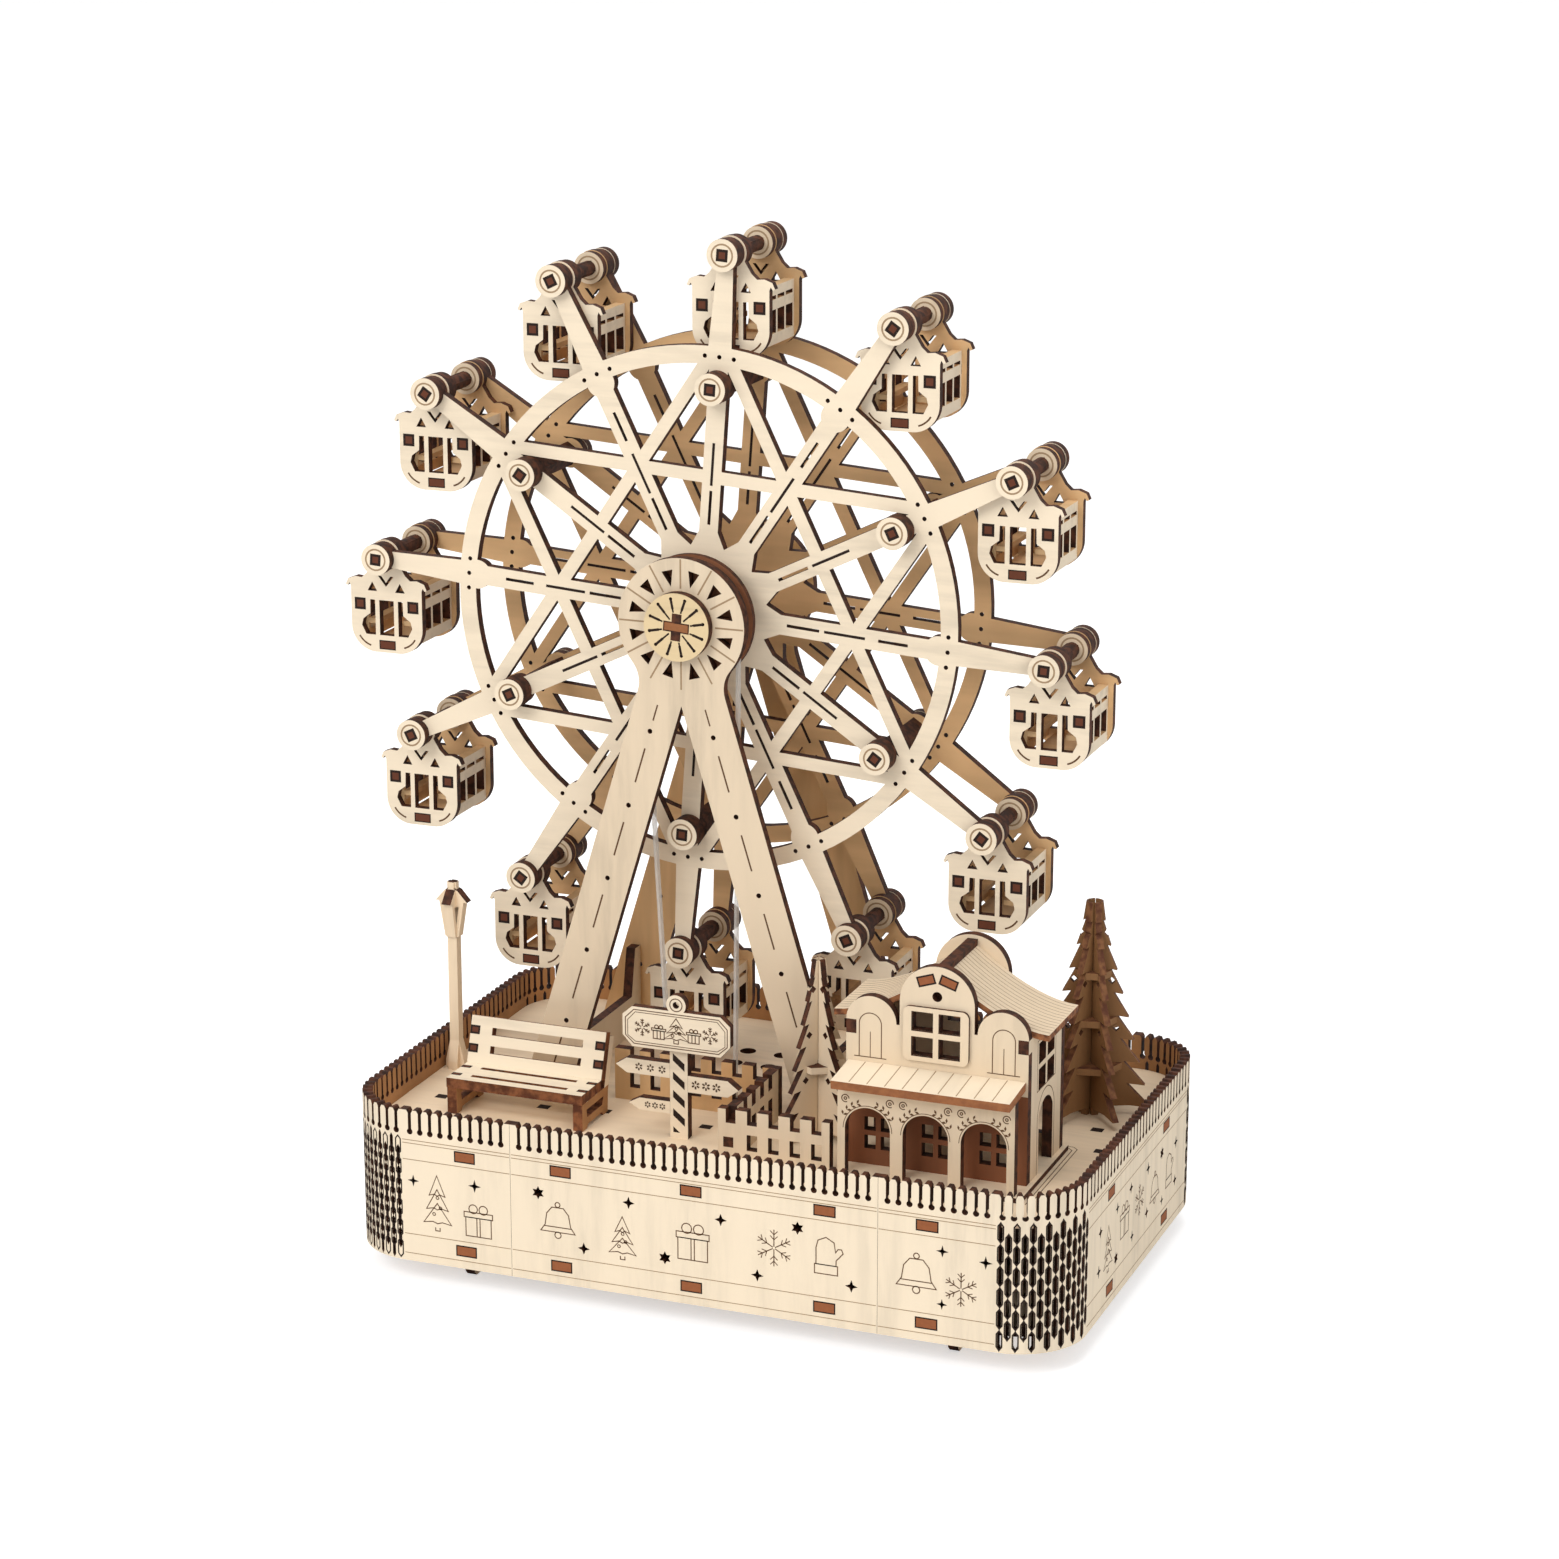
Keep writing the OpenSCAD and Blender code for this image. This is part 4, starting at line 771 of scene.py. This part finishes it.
def draw_walls():
    """The same drawing on front and back, and the same on left and right, each read from outside."""
    ink = Inlay("wall_pictures", "base", "engraved")
    rule = Inlay("wall_rules", "base", "faint")
    seam = high("wall_front").x - BASE.x
    end = HALF_W - CORNER_R
    long_runs = [(-end, -seam), (-seam, seam), (seam, end)]
    front = facing_front(low("wall_front").y)
    back = facing_back(high("wall_back").y)
    for face, way in ((front, 1), (back, -1)):
        place = read_from_outside(face, BASE.x, way)
        draw_wall(ink, rule, place, long_runs, LONG_WALL, LONG_TABS)
    end = HALF_D - CORNER_R
    right = facing_right(high("wall_right").x)
    left = facing_left(low("wall_left").x)
    for face, way in ((right, 1), (left, -1)):
        place = read_from_outside(face, BASE.y, way)
        draw_wall(ink, rule, place, [(-end, end)], SIDE_WALL, SIDE_TABS)
    ink.done()
    rule.done()


# The slots that let the walls bend: staggered columns round each corner, below the pickets.
PICKET_DROP = 7.4
CORNER_COLUMNS = 14
CORNER_ROWS = 6
CORNER_MARGIN = 0.5
# Half outline of a slot's rim, from its lower tip up to its upper tip.
RIM_HALF = [(0, -2.9), (0.78, -1.9), (0.78, 1.9), (0, 2.9)]
RIM_WIDTH = 0.4


def on_corner(angle, x_way, y_way):
    """Places round a corner of the box: along the wall from an angle, up, and out of the wall."""

    def place(u, v, h):
        a = angle + u / CORNER_R
        x = HALF_W - CORNER_R + (CORNER_R + h) * math.cos(a)
        y = y_way * (HALF_D - CORNER_R) + (CORNER_R + h) * math.sin(a)
        return Vector((BASE.x + x_way * x, BASE.y + y, v))

    return place


def draw_corners():
    """Scorched rims round the slots."""
    ink = Inlay("corner_rims", "base", "slot_dark")
    foot = low("wall_front").z + CORNER_MARGIN
    pitch = (high("wall_front").z - PICKET_DROP - CORNER_MARGIN - foot) / CORNER_ROWS
    rim = RIM_HALF + [(-u, v) for u, v in reversed(RIM_HALF[1:-1])]
    for x_way in (1, -1):
        for start, y_way in ((-90, -1), (0, 1)):
            for column in range(CORNER_COLUMNS):
                angle = math.radians(start + 90 * (column + 0.5) / CORNER_COLUMNS)
                place = on_corner(angle, x_way, y_way)
                shift = column % 2
                for row in range(CORNER_ROWS - shift):
                    z = foot + pitch * (row + 0.5 + shift / 2)
                    ink.line(rim, moved(place, 0, z), RIM_WIDTH, closed=True)
    ink.done()


# Stands: faint spokes on the head, and dashes down the middle of each leg between its small holes,
# both by their distance from the wheel's axis.
LEG_LEAN = 16.9
HEAD_RULES = 12
HEAD_RULE_START = 10.6
FIRST_DASH = (25.5, 30.5)
DASH_START = 39.5
DASH_PITCH = 24.04
DASH_LENGTH = 11
LEG_DASHES = 5


def draw_stands():
    faint = Inlay("stand_rules", "base", "faint")
    dash = Inlay("stand_dashes", "base", "engraved")
    head_end = high("front_stand").z - AXIS.z - RULE_INSET
    for y, back in ((low("front_stand").y, False), (high("rear_stand").y, True)):
        for i in range(HEAD_RULES):
            spoke = on_dial(y, 360 / HEAD_RULES * i, back)
            faint.line([(0, HEAD_RULE_START), (0, head_end)], spoke, BOLD_PEN)
        for side in (-1, 1):
            leg = on_dial(y, 180 + side * LEG_LEAN, back)
            dash.line([(0, r) for r in FIRST_DASH], leg, 0.45)
            for k in range(LEG_DASHES):
                start = DASH_START + DASH_PITCH * k
                dash.line([(0, start), (0, start + DASH_LENGTH)], leg, BOLD_PEN)
    faint.done()
    dash.done()


# Wheel: rings and tenons on the caps, cuts in the hub discs and slits in the spokes.
CAP_RING_R = 3.15
RING_STEPS = 24
TENON_SIDE = 2.7
TENON_GAP = 0.8
COLLAR_RING_R = 3.4
COLLAR_T = 2.5
SIDE_PLAY = 0.5
# A cut in a hub disc starts nearer the axis where a board's narrow end leaves room for it.
DISC_CUT_NEAR = 2.9
DISC_CUT_FAR = 4.4
DISC_CUT_MIDDLE = 5.4
DISC_CUT_END = 8.4
DISC_CUT_W = 0.75
SHAFT_BOARD_W = 8
BOARD_RIM = 0.8
SLIT = (37.5, 50)
SLIT_W = 0.8


def draw_wheels():
    ring = Inlay("cap_rings", "wheel", "faint")
    tenon = Inlay("cap_tenons", "wheel", "engraved")
    for node, r, every in (("cabin_caps", ARM_R, 1), ("inner_caps", INNER_CAP_R, 2)):
        for i in range(0, CABINS, every):
            for y, back in ((low(node).y, False), (high(node).y, True)):
                place = on_dial(y, WHEEL_TURN + STEP * i, back)
                ring.arc((0, r), CAP_RING_R, 0, 360, place, BOLD_PEN, RING_STEPS)
                tenon.tenon((0, r), (TENON_SIDE, TENON_SIDE), place, 0, TENON_GAP)
    draw_collars(ring)
    ring.done()
    draw_hub_discs(tenon)
    draw_spoke_slits(tenon)
    tenon.done()


def draw_collars(ring):
    """A ring on the face of each collar that shows inside its cabin."""
    depth = THIN_SHEET + SIDE_PLAY / 2 + COLLAR_T
    for i in range(CABINS):
        for y, back in ((low("cabin_01").y + depth, True), (high("cabin_01").y - depth, False)):
            place = on_dial(y, WHEEL_TURN + STEP * i, back)
            ring.arc((0, ARM_R), COLLAR_RING_R, 0, 360, place, BOLD_PEN, RING_STEPS)


def draw_hub_discs(ink):
    """Radial cuts that run in towards the crossed boards of the shaft, and a board's end."""
    for y, back in ((low("hub_discs").y, False), (high("hub_discs").y, True)):
        ink.use("slot_dark")
        for i in range(CABINS):
            start = DISC_CUT_NEAR if i % 3 == 1 else DISC_CUT_FAR
            place = on_dial(y, WHEEL_TURN + STEP / 2 + STEP * i, back)
            ink.line([(0, start), (0, DISC_CUT_MIDDLE)], place, BOLD_PEN)
            ink.line([(0, DISC_CUT_MIDDLE), (0, DISC_CUT_END)], place, DISC_CUT_W)
        ink.use("board_end")
        end = (SHAFT_BOARD_W - BOARD_RIM, SHEET - BOARD_RIM)
        ink.box((0, 0), end, on_dial(y, WHEEL_TURN, back))


def draw_spoke_slits(ink):
    """Slits that run on from the cuts beside the hub towards the inner caps."""
    ink.use("slot_dark")
    sides = ("wheel_front", "wheel_rear")
    faces = [(low(side).y, False) for side in sides] + [(high(side).y, True) for side in sides]
    for y, back in faces:
        for i in range(CABINS):
            ink.line([(0, r) for r in SLIT], on_dial(y, WHEEL_TURN + STEP * i, back), SLIT_W)


# Cabins: tab ends in the two end boards and a curved line in each lower corner, from the axle.
SIDE_TAB_X = 8.8
SIDE_TAB_Z = -15.4
SIDE_TAB = (2.9, 2.9)
SIDE_TAB_GAP = 0.75
FLOOR_TAB_Z = -27.65
FLOOR_TAB = (5.1, 2.5)
CORNER_LINE_X = 3.8
CORNER_LINE_Z = -22
CORNER_LINE_R = 6.35
# Angles of the curved line in the right corner. The left one mirrors them.
CORNER_LINE_FROM = -74
CORNER_LINE_TO = -31


def draw_cabin(i):
    cabin = f"cabin_{i + 1:02d}"
    ink = Inlay(cabin + "_lines", cabin, "engraved")
    turn = math.radians(WHEEL_TURN + STEP * i)
    axle_x = AXIS.x + ARM_R * math.sin(turn)
    axle_z = AXIS.z + ARM_R * math.cos(turn)
    for face in (facing_front(low(cabin).y), facing_back(high(cabin).y)):
        place = moved(face, axle_x, axle_z)
        ink.tenon((0, FLOOR_TAB_Z), FLOOR_TAB, place)
        for side in (-1, 1):
            ink.tenon((side * SIDE_TAB_X, SIDE_TAB_Z), SIDE_TAB, place, 0, SIDE_TAB_GAP)
            start = CORNER_LINE_FROM if side > 0 else 180 - CORNER_LINE_TO
            end = CORNER_LINE_TO if side > 0 else 180 - CORNER_LINE_FROM
            ink.use("engraved")
            centre = (side * CORNER_LINE_X, CORNER_LINE_Z)
            ink.arc(centre, CORNER_LINE_R, start, end, place, BOLD_PEN, 10)
    ink.done()


# House: doors beside the window, tab ends in the gable, boards on the roof and the awning.
# Each roof sheet falls from the ridge, steep at first and flared out, in flat steps.
ROOF_RISE = 61
ROOF_DROP = 15.4
ROOF_BEND = 1.7
ROOF_STEPS = 10


def on_awning(u, v, h):
    """Places on the awning: along the house, down the slope from the wall, and out of the board."""
    slope = math.radians(AWNING_SLOPE)
    corner = high("house_awning")
    y = corner.y - v * math.cos(slope) - h * math.sin(slope)
    z = corner.z - v * math.sin(slope) + h * math.cos(slope)
    return Vector((u, y, z))


def on_roof(side):
    """Places on one roof sheet: out from the ridge, along the ridge, and out of the sheet."""
    half = (high("house_roof").x - low("house_roof").x) / 2

    def place(u, v, h):
        share = 1 - u / half
        z = DECK_TOP + ROOF_RISE - ROOF_DROP * (1 - share**ROOF_BEND)
        fall = ROOF_DROP * ROOF_BEND / half * max(share, 0) ** (ROOF_BEND - 1)
        size = math.hypot(fall, 1)
        return Vector((HOUSE_X + side * (u + h * fall / size), v, z + h / size))

    return place


# Front doors: half their width, their middle in from the corner, and the spring of their arches.
DOOR_HALF = 3.3
DOOR_IN = 7.2
DOOR_SPRING = 43.4
# Tabs of the roof in the gable.
GABLE_TAB_X = 3.3
GABLE_TAB_Z = 58.35
GABLE_TAB = (4.9, 2.6)
GABLE_LEAN = 18
# Arches of the arcade, the twigs over them and the curls between them. Angles are in degrees.
ARCH_PITCH = 17.1
ARCH_R = 6.7
ARCH_SPRING = 15.2
ARCH_LINE_R = ARCH_R + 0.55
TWIG_R = ARCH_R + 1.5
TWIG_PAIRS = 4
TWIG_START = 62
TWIG_STEP = 13
LEAF = 1.5
LEAF_SPREAD = 42
CURL_X = 6.6
CURL_Z = 8.8
CURL_R = 1.1
CURL_TURN = 300
CURL_EYE_R = 0.4
AWNING_BOARDS = 10
ROOF_BOARDS = 13
# Side window and side door.
WINDOW_HALF = 8.4
WINDOW_LOW = 26.4
WINDOW_HIGH = 41.4
SIDE_ARCH_R = 7.9
SIDE_ARCH_SPRING = 17.3


def draw_leaf(ink, spot, angle, place):
    """A small pointed leaf that grows from a spot."""
    run = Vector((math.cos(math.radians(angle)), math.sin(math.radians(angle))))
    side = Vector((-run.y, run.x))
    middle_line = spot + run * LEAF * 0.5
    half = side * LEAF * 0.24
    ink.plate([spot, middle_line + half, spot + run * LEAF, middle_line - half], place)


def draw_arcade(ink):
    """A fine line round each arch, twigs of paired leaves over it and a curl on either side."""
    face = facing_front(low("house_arcade").y)
    spring = DECK_TOP + ARCH_SPRING
    for k in (-1, 0, 1):
        x = HOUSE_X + k * ARCH_PITCH
        ink.arc((x, spring), ARCH_LINE_R, 0, 180, face, 0.2, 20)
        for side in (-1, 1):
            for pair in range(TWIG_PAIRS):
                angle = 90 - side * (TWIG_START - TWIG_STEP * pair)
                a = math.radians(angle)
                spot = Vector((x + TWIG_R * math.cos(a), spring + TWIG_R * math.sin(a)))
                for way in (-1, 1):
                    draw_leaf(ink, spot, angle + side * 90 + way * LEAF_SPREAD, face)
            curl = (x + side * CURL_X, spring + CURL_Z)
            ink.arc(curl, CURL_R, 0, CURL_TURN, face, PEN, 12)
            ink.arc(curl, CURL_EYE_R, 0, 360, face, PEN, 8)


def draw_doors(ink):
    """Two arched doors beside the window, and the gable's tab ends."""
    face = facing_front(low("house_front").y)
    foot = high("house_awning").z + 1.4
    spring = DECK_TOP + DOOR_SPRING
    sill = DOOR_HALF + 1.5
    for side in (-1, 1):
        x = HOUSE_X + side * ((high("house_front").x - low("house_front").x) / 2 - DOOR_IN)
        ink.use("engraved")
        for edge in (x - DOOR_HALF, x + DOOR_HALF):
            ink.line([(edge, foot), (edge, spring)], face, BOARD_PEN)
        ink.line([(x, foot), (x, spring - 2.2)], face, RULE_PEN)
        ink.line([(x - sill, foot), (x + sill, foot)], face, BOARD_PEN)
        ink.arc((x, spring), DOOR_HALF, 0, 180, face, BOARD_PEN, 16)
        spot = (HOUSE_X + side * GABLE_TAB_X, DECK_TOP + GABLE_TAB_Z)
        ink.tenon(spot, GABLE_TAB, face, -GABLE_LEAN * side, 0.5, "tab_light")


def draw_house_sides(ink):
    """A frame round the side window and an arch round the side door."""
    mid = (low("house_front").y + high("house_rear").y) / 2
    left = mid - WINDOW_HALF
    right = mid + WINDOW_HALF
    sill = DECK_TOP + WINDOW_LOW
    head = DECK_TOP + WINDOW_HIGH
    spring = DECK_TOP + SIDE_ARCH_SPRING
    foot = high("house_plinth").z + 0.2
    for place in (facing_right(high("house_sides").x), facing_left(low("house_sides").x)):
        window = [(left, sill), (right, sill), (right, head), (left, head)]
        ink.line(window, place, FINE_PEN, closed=True)
        ink.arc((mid, spring), SIDE_ARCH_R, 0, 180, place, BOARD_PEN, 20)
        for edge in (mid - SIDE_ARCH_R, mid + SIDE_ARCH_R):
            ink.line([(edge, foot), (edge, spring)], place, BOARD_PEN)


def draw_house_ground(ink):
    """Two lines on the deck round the house's rear right corner, which they cut off."""
    right = high("house_plinth").x
    rear = high("house_plinth").y
    front = low("house_plinth").y
    end = right - 20
    cut = 1.5
    for out in (1.2, 2.4):
        side = right + out
        back = rear + out
        outline = [(side, front), (side, back - cut), (side - cut, back), (end, back)]
        ink.line(outline, facing_up(DECK_TOP), FINE_PEN)


def draw_awning_boards(boards):
    left = low("house_awning").x
    width = high("house_awning").x - left
    deep = (high("house_awning").y - low("house_awning").y) / math.cos(math.radians(AWNING_SLOPE))
    for k in range(1, AWNING_BOARDS):
        x = left + width * k / AWNING_BOARDS
        boards.line([(x, RULE_INSET), (x, deep - 0.7)], on_awning, BOARD_PEN)


def draw_roof_boards(boards):
    """The lines take the same steps down the roof as the roof's own facets."""
    near = SHEET / 2 + FIT
    half = (high("house_roof").x - low("house_roof").x) / 2
    spots = [near + (half - near) * k / ROOF_STEPS for k in range(ROOF_STEPS + 1)]
    spots[-1] -= RULE_INSET
    front = low("house_roof").y
    depth = high("house_roof").y - front
    for side in (-1, 1):
        for k in range(1, ROOF_BOARDS):
            y = front + depth * k / ROOF_BOARDS
            boards.line([(spot, y) for spot in spots], on_roof(side), 0.26)


def draw_house():
    ink = Inlay("house_lines", "base", "engraved")
    draw_doors(ink)
    ink.use("engraved")
    draw_arcade(ink)
    draw_house_sides(ink)
    draw_house_ground(ink)
    ink.done()
    boards = Inlay("house_boards", "base", "faint")
    draw_awning_boards(boards)
    draw_roof_boards(boards)
    boards.done()


# Scenery: the sign's border and stripes, and the slots that nothing stands in.
SIGN_X = middle("sign_post").x
SIGN_LOW = low("sign_board").z
SIGN_TALL = 12.1
SIGN_RING_R = 1.9
SIGN_RING_UP = 1.95
# Each border's distance from the board's edge, and its width.
SIGN_BORDERS = [(0.9, 0.28), (1.6, 0.2)]
# Each picture's place on the board from the middle of its lower edge, and its size.
SIGN_PICTURES = [
    ("flake", -10.5, SIGN_TALL / 2, 2.6), ("flake", 10.5, SIGN_TALL / 2, 2.6), ("fir", 0, 2.4, 7.6),
    ("gift", -5.4, 3.2, 3.4), ("gift", 5.4, 3.2, 3.4),
]
# Each pointer: its length, its foot's height on the post, its height, and the side it points to.
POINTERS = [(16.9, 18.1, 4.5, -1), (12.9, 7.2, 3.7, -1), (15.7, 14.5, 5, 1)]
POINTER_FLAKES = 3
POINTER_FIRST = 5.2
POINTER_TIP = 6
# Outlines of a stripe on the post and of the lowest one, which the deck cuts short.
STRIPES = 4
STRIPE_PITCH = 5.6
STRIPE = [(-1.8, 6.8), (1.8, 3.8), (1.8, 6.1), (-1.8, 9)]
STRIPE_FOOT = [(-1.8, 1.7), (0.3, 1.7), (-1.8, 3.4)]
# Middle of each free slot from the middle of the base, and the size of all of them.
FREE_SLOTS = [(93.4, 13.1), (99.2, -3.0), (-13.5, -25.7), (-64.2, -27.8), (-96.1, -30.8), (-46, -24.6)]
FREE_SLOT_SIZE = (3.6, 3.0)


def sign_outline(inset):
    """The eight corners of the sign board about the middle of its lower edge, drawn in."""
    half = (high("sign_board").x - low("sign_board").x) / 2 - inset
    tall = SIGN_TALL - inset
    cut = 3 - 0.4 * inset
    right = [(half - cut, inset), (half, 3.3), (half, tall - 2.6), (half - cut, tall)]
    left = [(-u, v) for u, v in reversed(right)]
    return left[-2:] + right + left[:-2]


def draw_sign():
    """A double border with small pictures in it, and snowflakes along the pointers."""
    ink = Inlay("sign_lines", "base", "engraved")
    board = moved(facing_front(low("sign_board").y), middle("sign_board").x, SIGN_LOW)
    for inset, width in SIGN_BORDERS:
        ink.line(sign_outline(inset), board, width, closed=True)
    ink.arc((0, SIGN_TALL + SIGN_RING_UP), SIGN_RING_R, 0, 360, board, PEN, 20)
    draw_pictures(ink, board, SIGN_PICTURES)
    for length, foot, height, side in POINTERS:
        level = DECK_TOP + foot + height / 2
        pointer = moved(facing_front(low("direction_arrows").y), SIGN_X, level)
        for k in range(POINTER_FLAKES):
            out = POINTER_FIRST + k * (length - POINTER_TIP) / POINTER_FLAKES
            draw_snowflake(ink, moved(pointer, side * out, 0), height * 0.26)
    draw_stripes(ink)
    ink.done()


def draw_stripes(ink):
    """Slanting dark stripes up the post."""
    ink.use("slot_dark")
    post = moved(facing_front(low("sign_post").y), SIGN_X, DECK_TOP)
    for k in range(STRIPES):
        ink.plate(STRIPE, moved(post, 0, STRIPE_PITCH * k))
    ink.plate(STRIPE_FOOT, post)


# Middles of the notches up the bench's back and along its seat, and the tabs' heights in them.
BACK_ROWS = (4.47, 9.92)
BACK_TAB_H = 2.0
SEAT_ROWS = (3.9, 10.7)
SEAT_TAB_H = 1.4


def on_bench_back(u, v, h):
    """Places on the front of the leaning back: along the bench, up the board, and out of it."""
    lean = math.radians(BENCH_LEAN)
    y = SEAT_REAR - h * math.cos(lean) + v * math.sin(lean)
    z = SEAT_TOP + h * math.sin(lean) + v * math.cos(lean)
    return Vector((u, y, z))


def draw_bench():
    """Tab ends of the frames in the notches of the seat and of the leaning back."""
    ink = Inlay("bench_tabs", "base", "slot_dark")
    tab_w = SHEET - 0.5
    for x in (low("bench").x + SHEET / 2, high("bench").x - SHEET / 2):
        for v in BACK_ROWS:
            ink.tenon((x, v), (tab_w, BACK_TAB_H), on_bench_back, 0, 0.6)
        for v in SEAT_ROWS:
            ink.tenon((x, low("bench").y + v), (tab_w, SEAT_TAB_H), facing_up(SEAT_TOP), 0, 0.5)
    ink.done()


def draw_deck():
    """Empty slots in the deck as dark plates: painted shade down the holes, with their burnt walls."""
    ink = Inlay("deck_slots", "base", "slot_dark")
    for x, y in FREE_SLOTS:
        ink.box((BASE.x + x, BASE.y + y), FREE_SLOT_SIZE, facing_up(DECK_TOP))
    ink.done()


draw_walls()
draw_corners()
draw_stands()
draw_wheels()
for cabin_number in range(CABINS):
    draw_cabin(cabin_number)
draw_house()
draw_sign()
draw_bench()
draw_deck()


# Floor, light and camera, in metres
WHITE = (1, 1, 1, 1)
FLOOR_GREY = (0.86, 0.86, 0.86, 1)
FLOOR_GLOW = 0.55
FLOOR_R = 6.0
FLOOR_SIDES = 48
WORLD_LIGHT = 0.5
WORLD_SEEN = 1.0
LAMP_AIM = Vector((0, 0, 0.15))


def floor_material(name):
    """Pale, and lifted towards white for the camera alone."""
    g = Graph(name)
    g.shader.inputs["Base Color"].default_value = FLOOR_GREY
    g.shader.inputs["Roughness"].default_value = 0.9
    g.shader.inputs["Specular IOR Level"].default_value = 0.1
    g.shader.inputs["Emission Color"].default_value = WHITE
    path = g.add("ShaderNodeLightPath")
    seen = g.maths("MULTIPLY", path.outputs["Is Camera Ray"], FLOOR_GLOW)
    g.give(g.shader.inputs["Emission Strength"], seen)
    return g.material


def make_floor():
    data = bpy.data.meshes.new("floor")
    turns = [2 * math.pi * i / FLOOR_SIDES for i in range(FLOOR_SIDES)]
    verts = [(FLOOR_R * math.cos(a), FLOOR_R * math.sin(a), 0) for a in turns]
    data.from_pydata(verts, [], [tuple(range(FLOOR_SIDES))])
    data.materials.append(floor_material("floor"))
    floor = bpy.data.objects.new("floor", data)
    bpy.context.scene.collection.objects.link(floor)


def make_world():
    """An even light, which the camera and glossy surfaces see as white."""
    world = bpy.data.worlds.new("studio")
    bpy.context.scene.world = world
    world.use_nodes = True
    tree = world.node_tree
    background = tree.nodes["Background"]
    path = tree.nodes.new("ShaderNodeLightPath")
    seen = tree.nodes.new("ShaderNodeMath")
    seen.operation = "MAXIMUM"
    tree.links.new(path.outputs["Is Camera Ray"], seen.inputs[0])
    tree.links.new(path.outputs["Is Glossy Ray"], seen.inputs[1])
    level = tree.nodes.new("ShaderNodeMapRange")
    level.inputs["To Min"].default_value = WORLD_LIGHT
    level.inputs["To Max"].default_value = WORLD_SEEN
    tree.links.new(seen.outputs[0], level.inputs["Value"])
    background.inputs["Color"].default_value = WHITE
    tree.links.new(level.outputs[0], background.inputs["Strength"])


def make_lamp(name, place, size, power):
    data = bpy.data.lights.new(name, "AREA")
    data.size = size
    data.energy = power
    lamp = bpy.data.objects.new(name, data)
    lamp.location = place
    aim = LAMP_AIM - Vector(place)
    lamp.rotation_mode = "QUATERNION"
    lamp.rotation_quaternion = aim.to_track_quat("-Z", "Y")
    bpy.context.scene.collection.objects.link(lamp)


# The photograph's own view, found from the wheel's caps and the corners of the box.
# Its size and focal length are in pixels.
PHOTO_SIZE = 1559
FOCAL_LENGTH = 3935.0
CAMERA_AZIMUTH = math.radians(21.21)
CAMERA_ELEVATION = math.radians(15.99)
CAMERA_DISTANCE = 1.1361
CAMERA_TARGET = Vector(((BASE.x - 0.5) * MM, BASE.y * MM, 0.1424))


def make_camera():
    level = math.cos(CAMERA_ELEVATION)
    right = math.sin(CAMERA_AZIMUTH) * level
    forward = -math.cos(CAMERA_AZIMUTH) * level
    back = Vector((right, forward, math.sin(CAMERA_ELEVATION)))
    data = bpy.data.cameras.new("camera")
    data.sensor_width = 36
    data.lens = FOCAL_LENGTH * data.sensor_width / PHOTO_SIZE
    data.clip_start = 0.05
    data.clip_end = 50
    camera = bpy.data.objects.new("camera", data)
    camera.location = CAMERA_TARGET + back * CAMERA_DISTANCE
    camera.rotation_mode = "QUATERNION"
    camera.rotation_quaternion = (-back).to_track_quat("-Z", "Y")
    bpy.context.scene.collection.objects.link(camera)
    bpy.context.scene.camera = camera


make_floor()
make_world()
make_lamp("key", (-0.55, -1.3, 1.15), size=0.9, power=13)
make_lamp("fill", (1.3, -0.9, 0.7), size=1.2, power=6)
make_lamp("top", (0.1, -0.05, 1.5), size=0.9, power=7)
make_camera()
bpy.context.scene.view_settings.view_transform = "Standard"
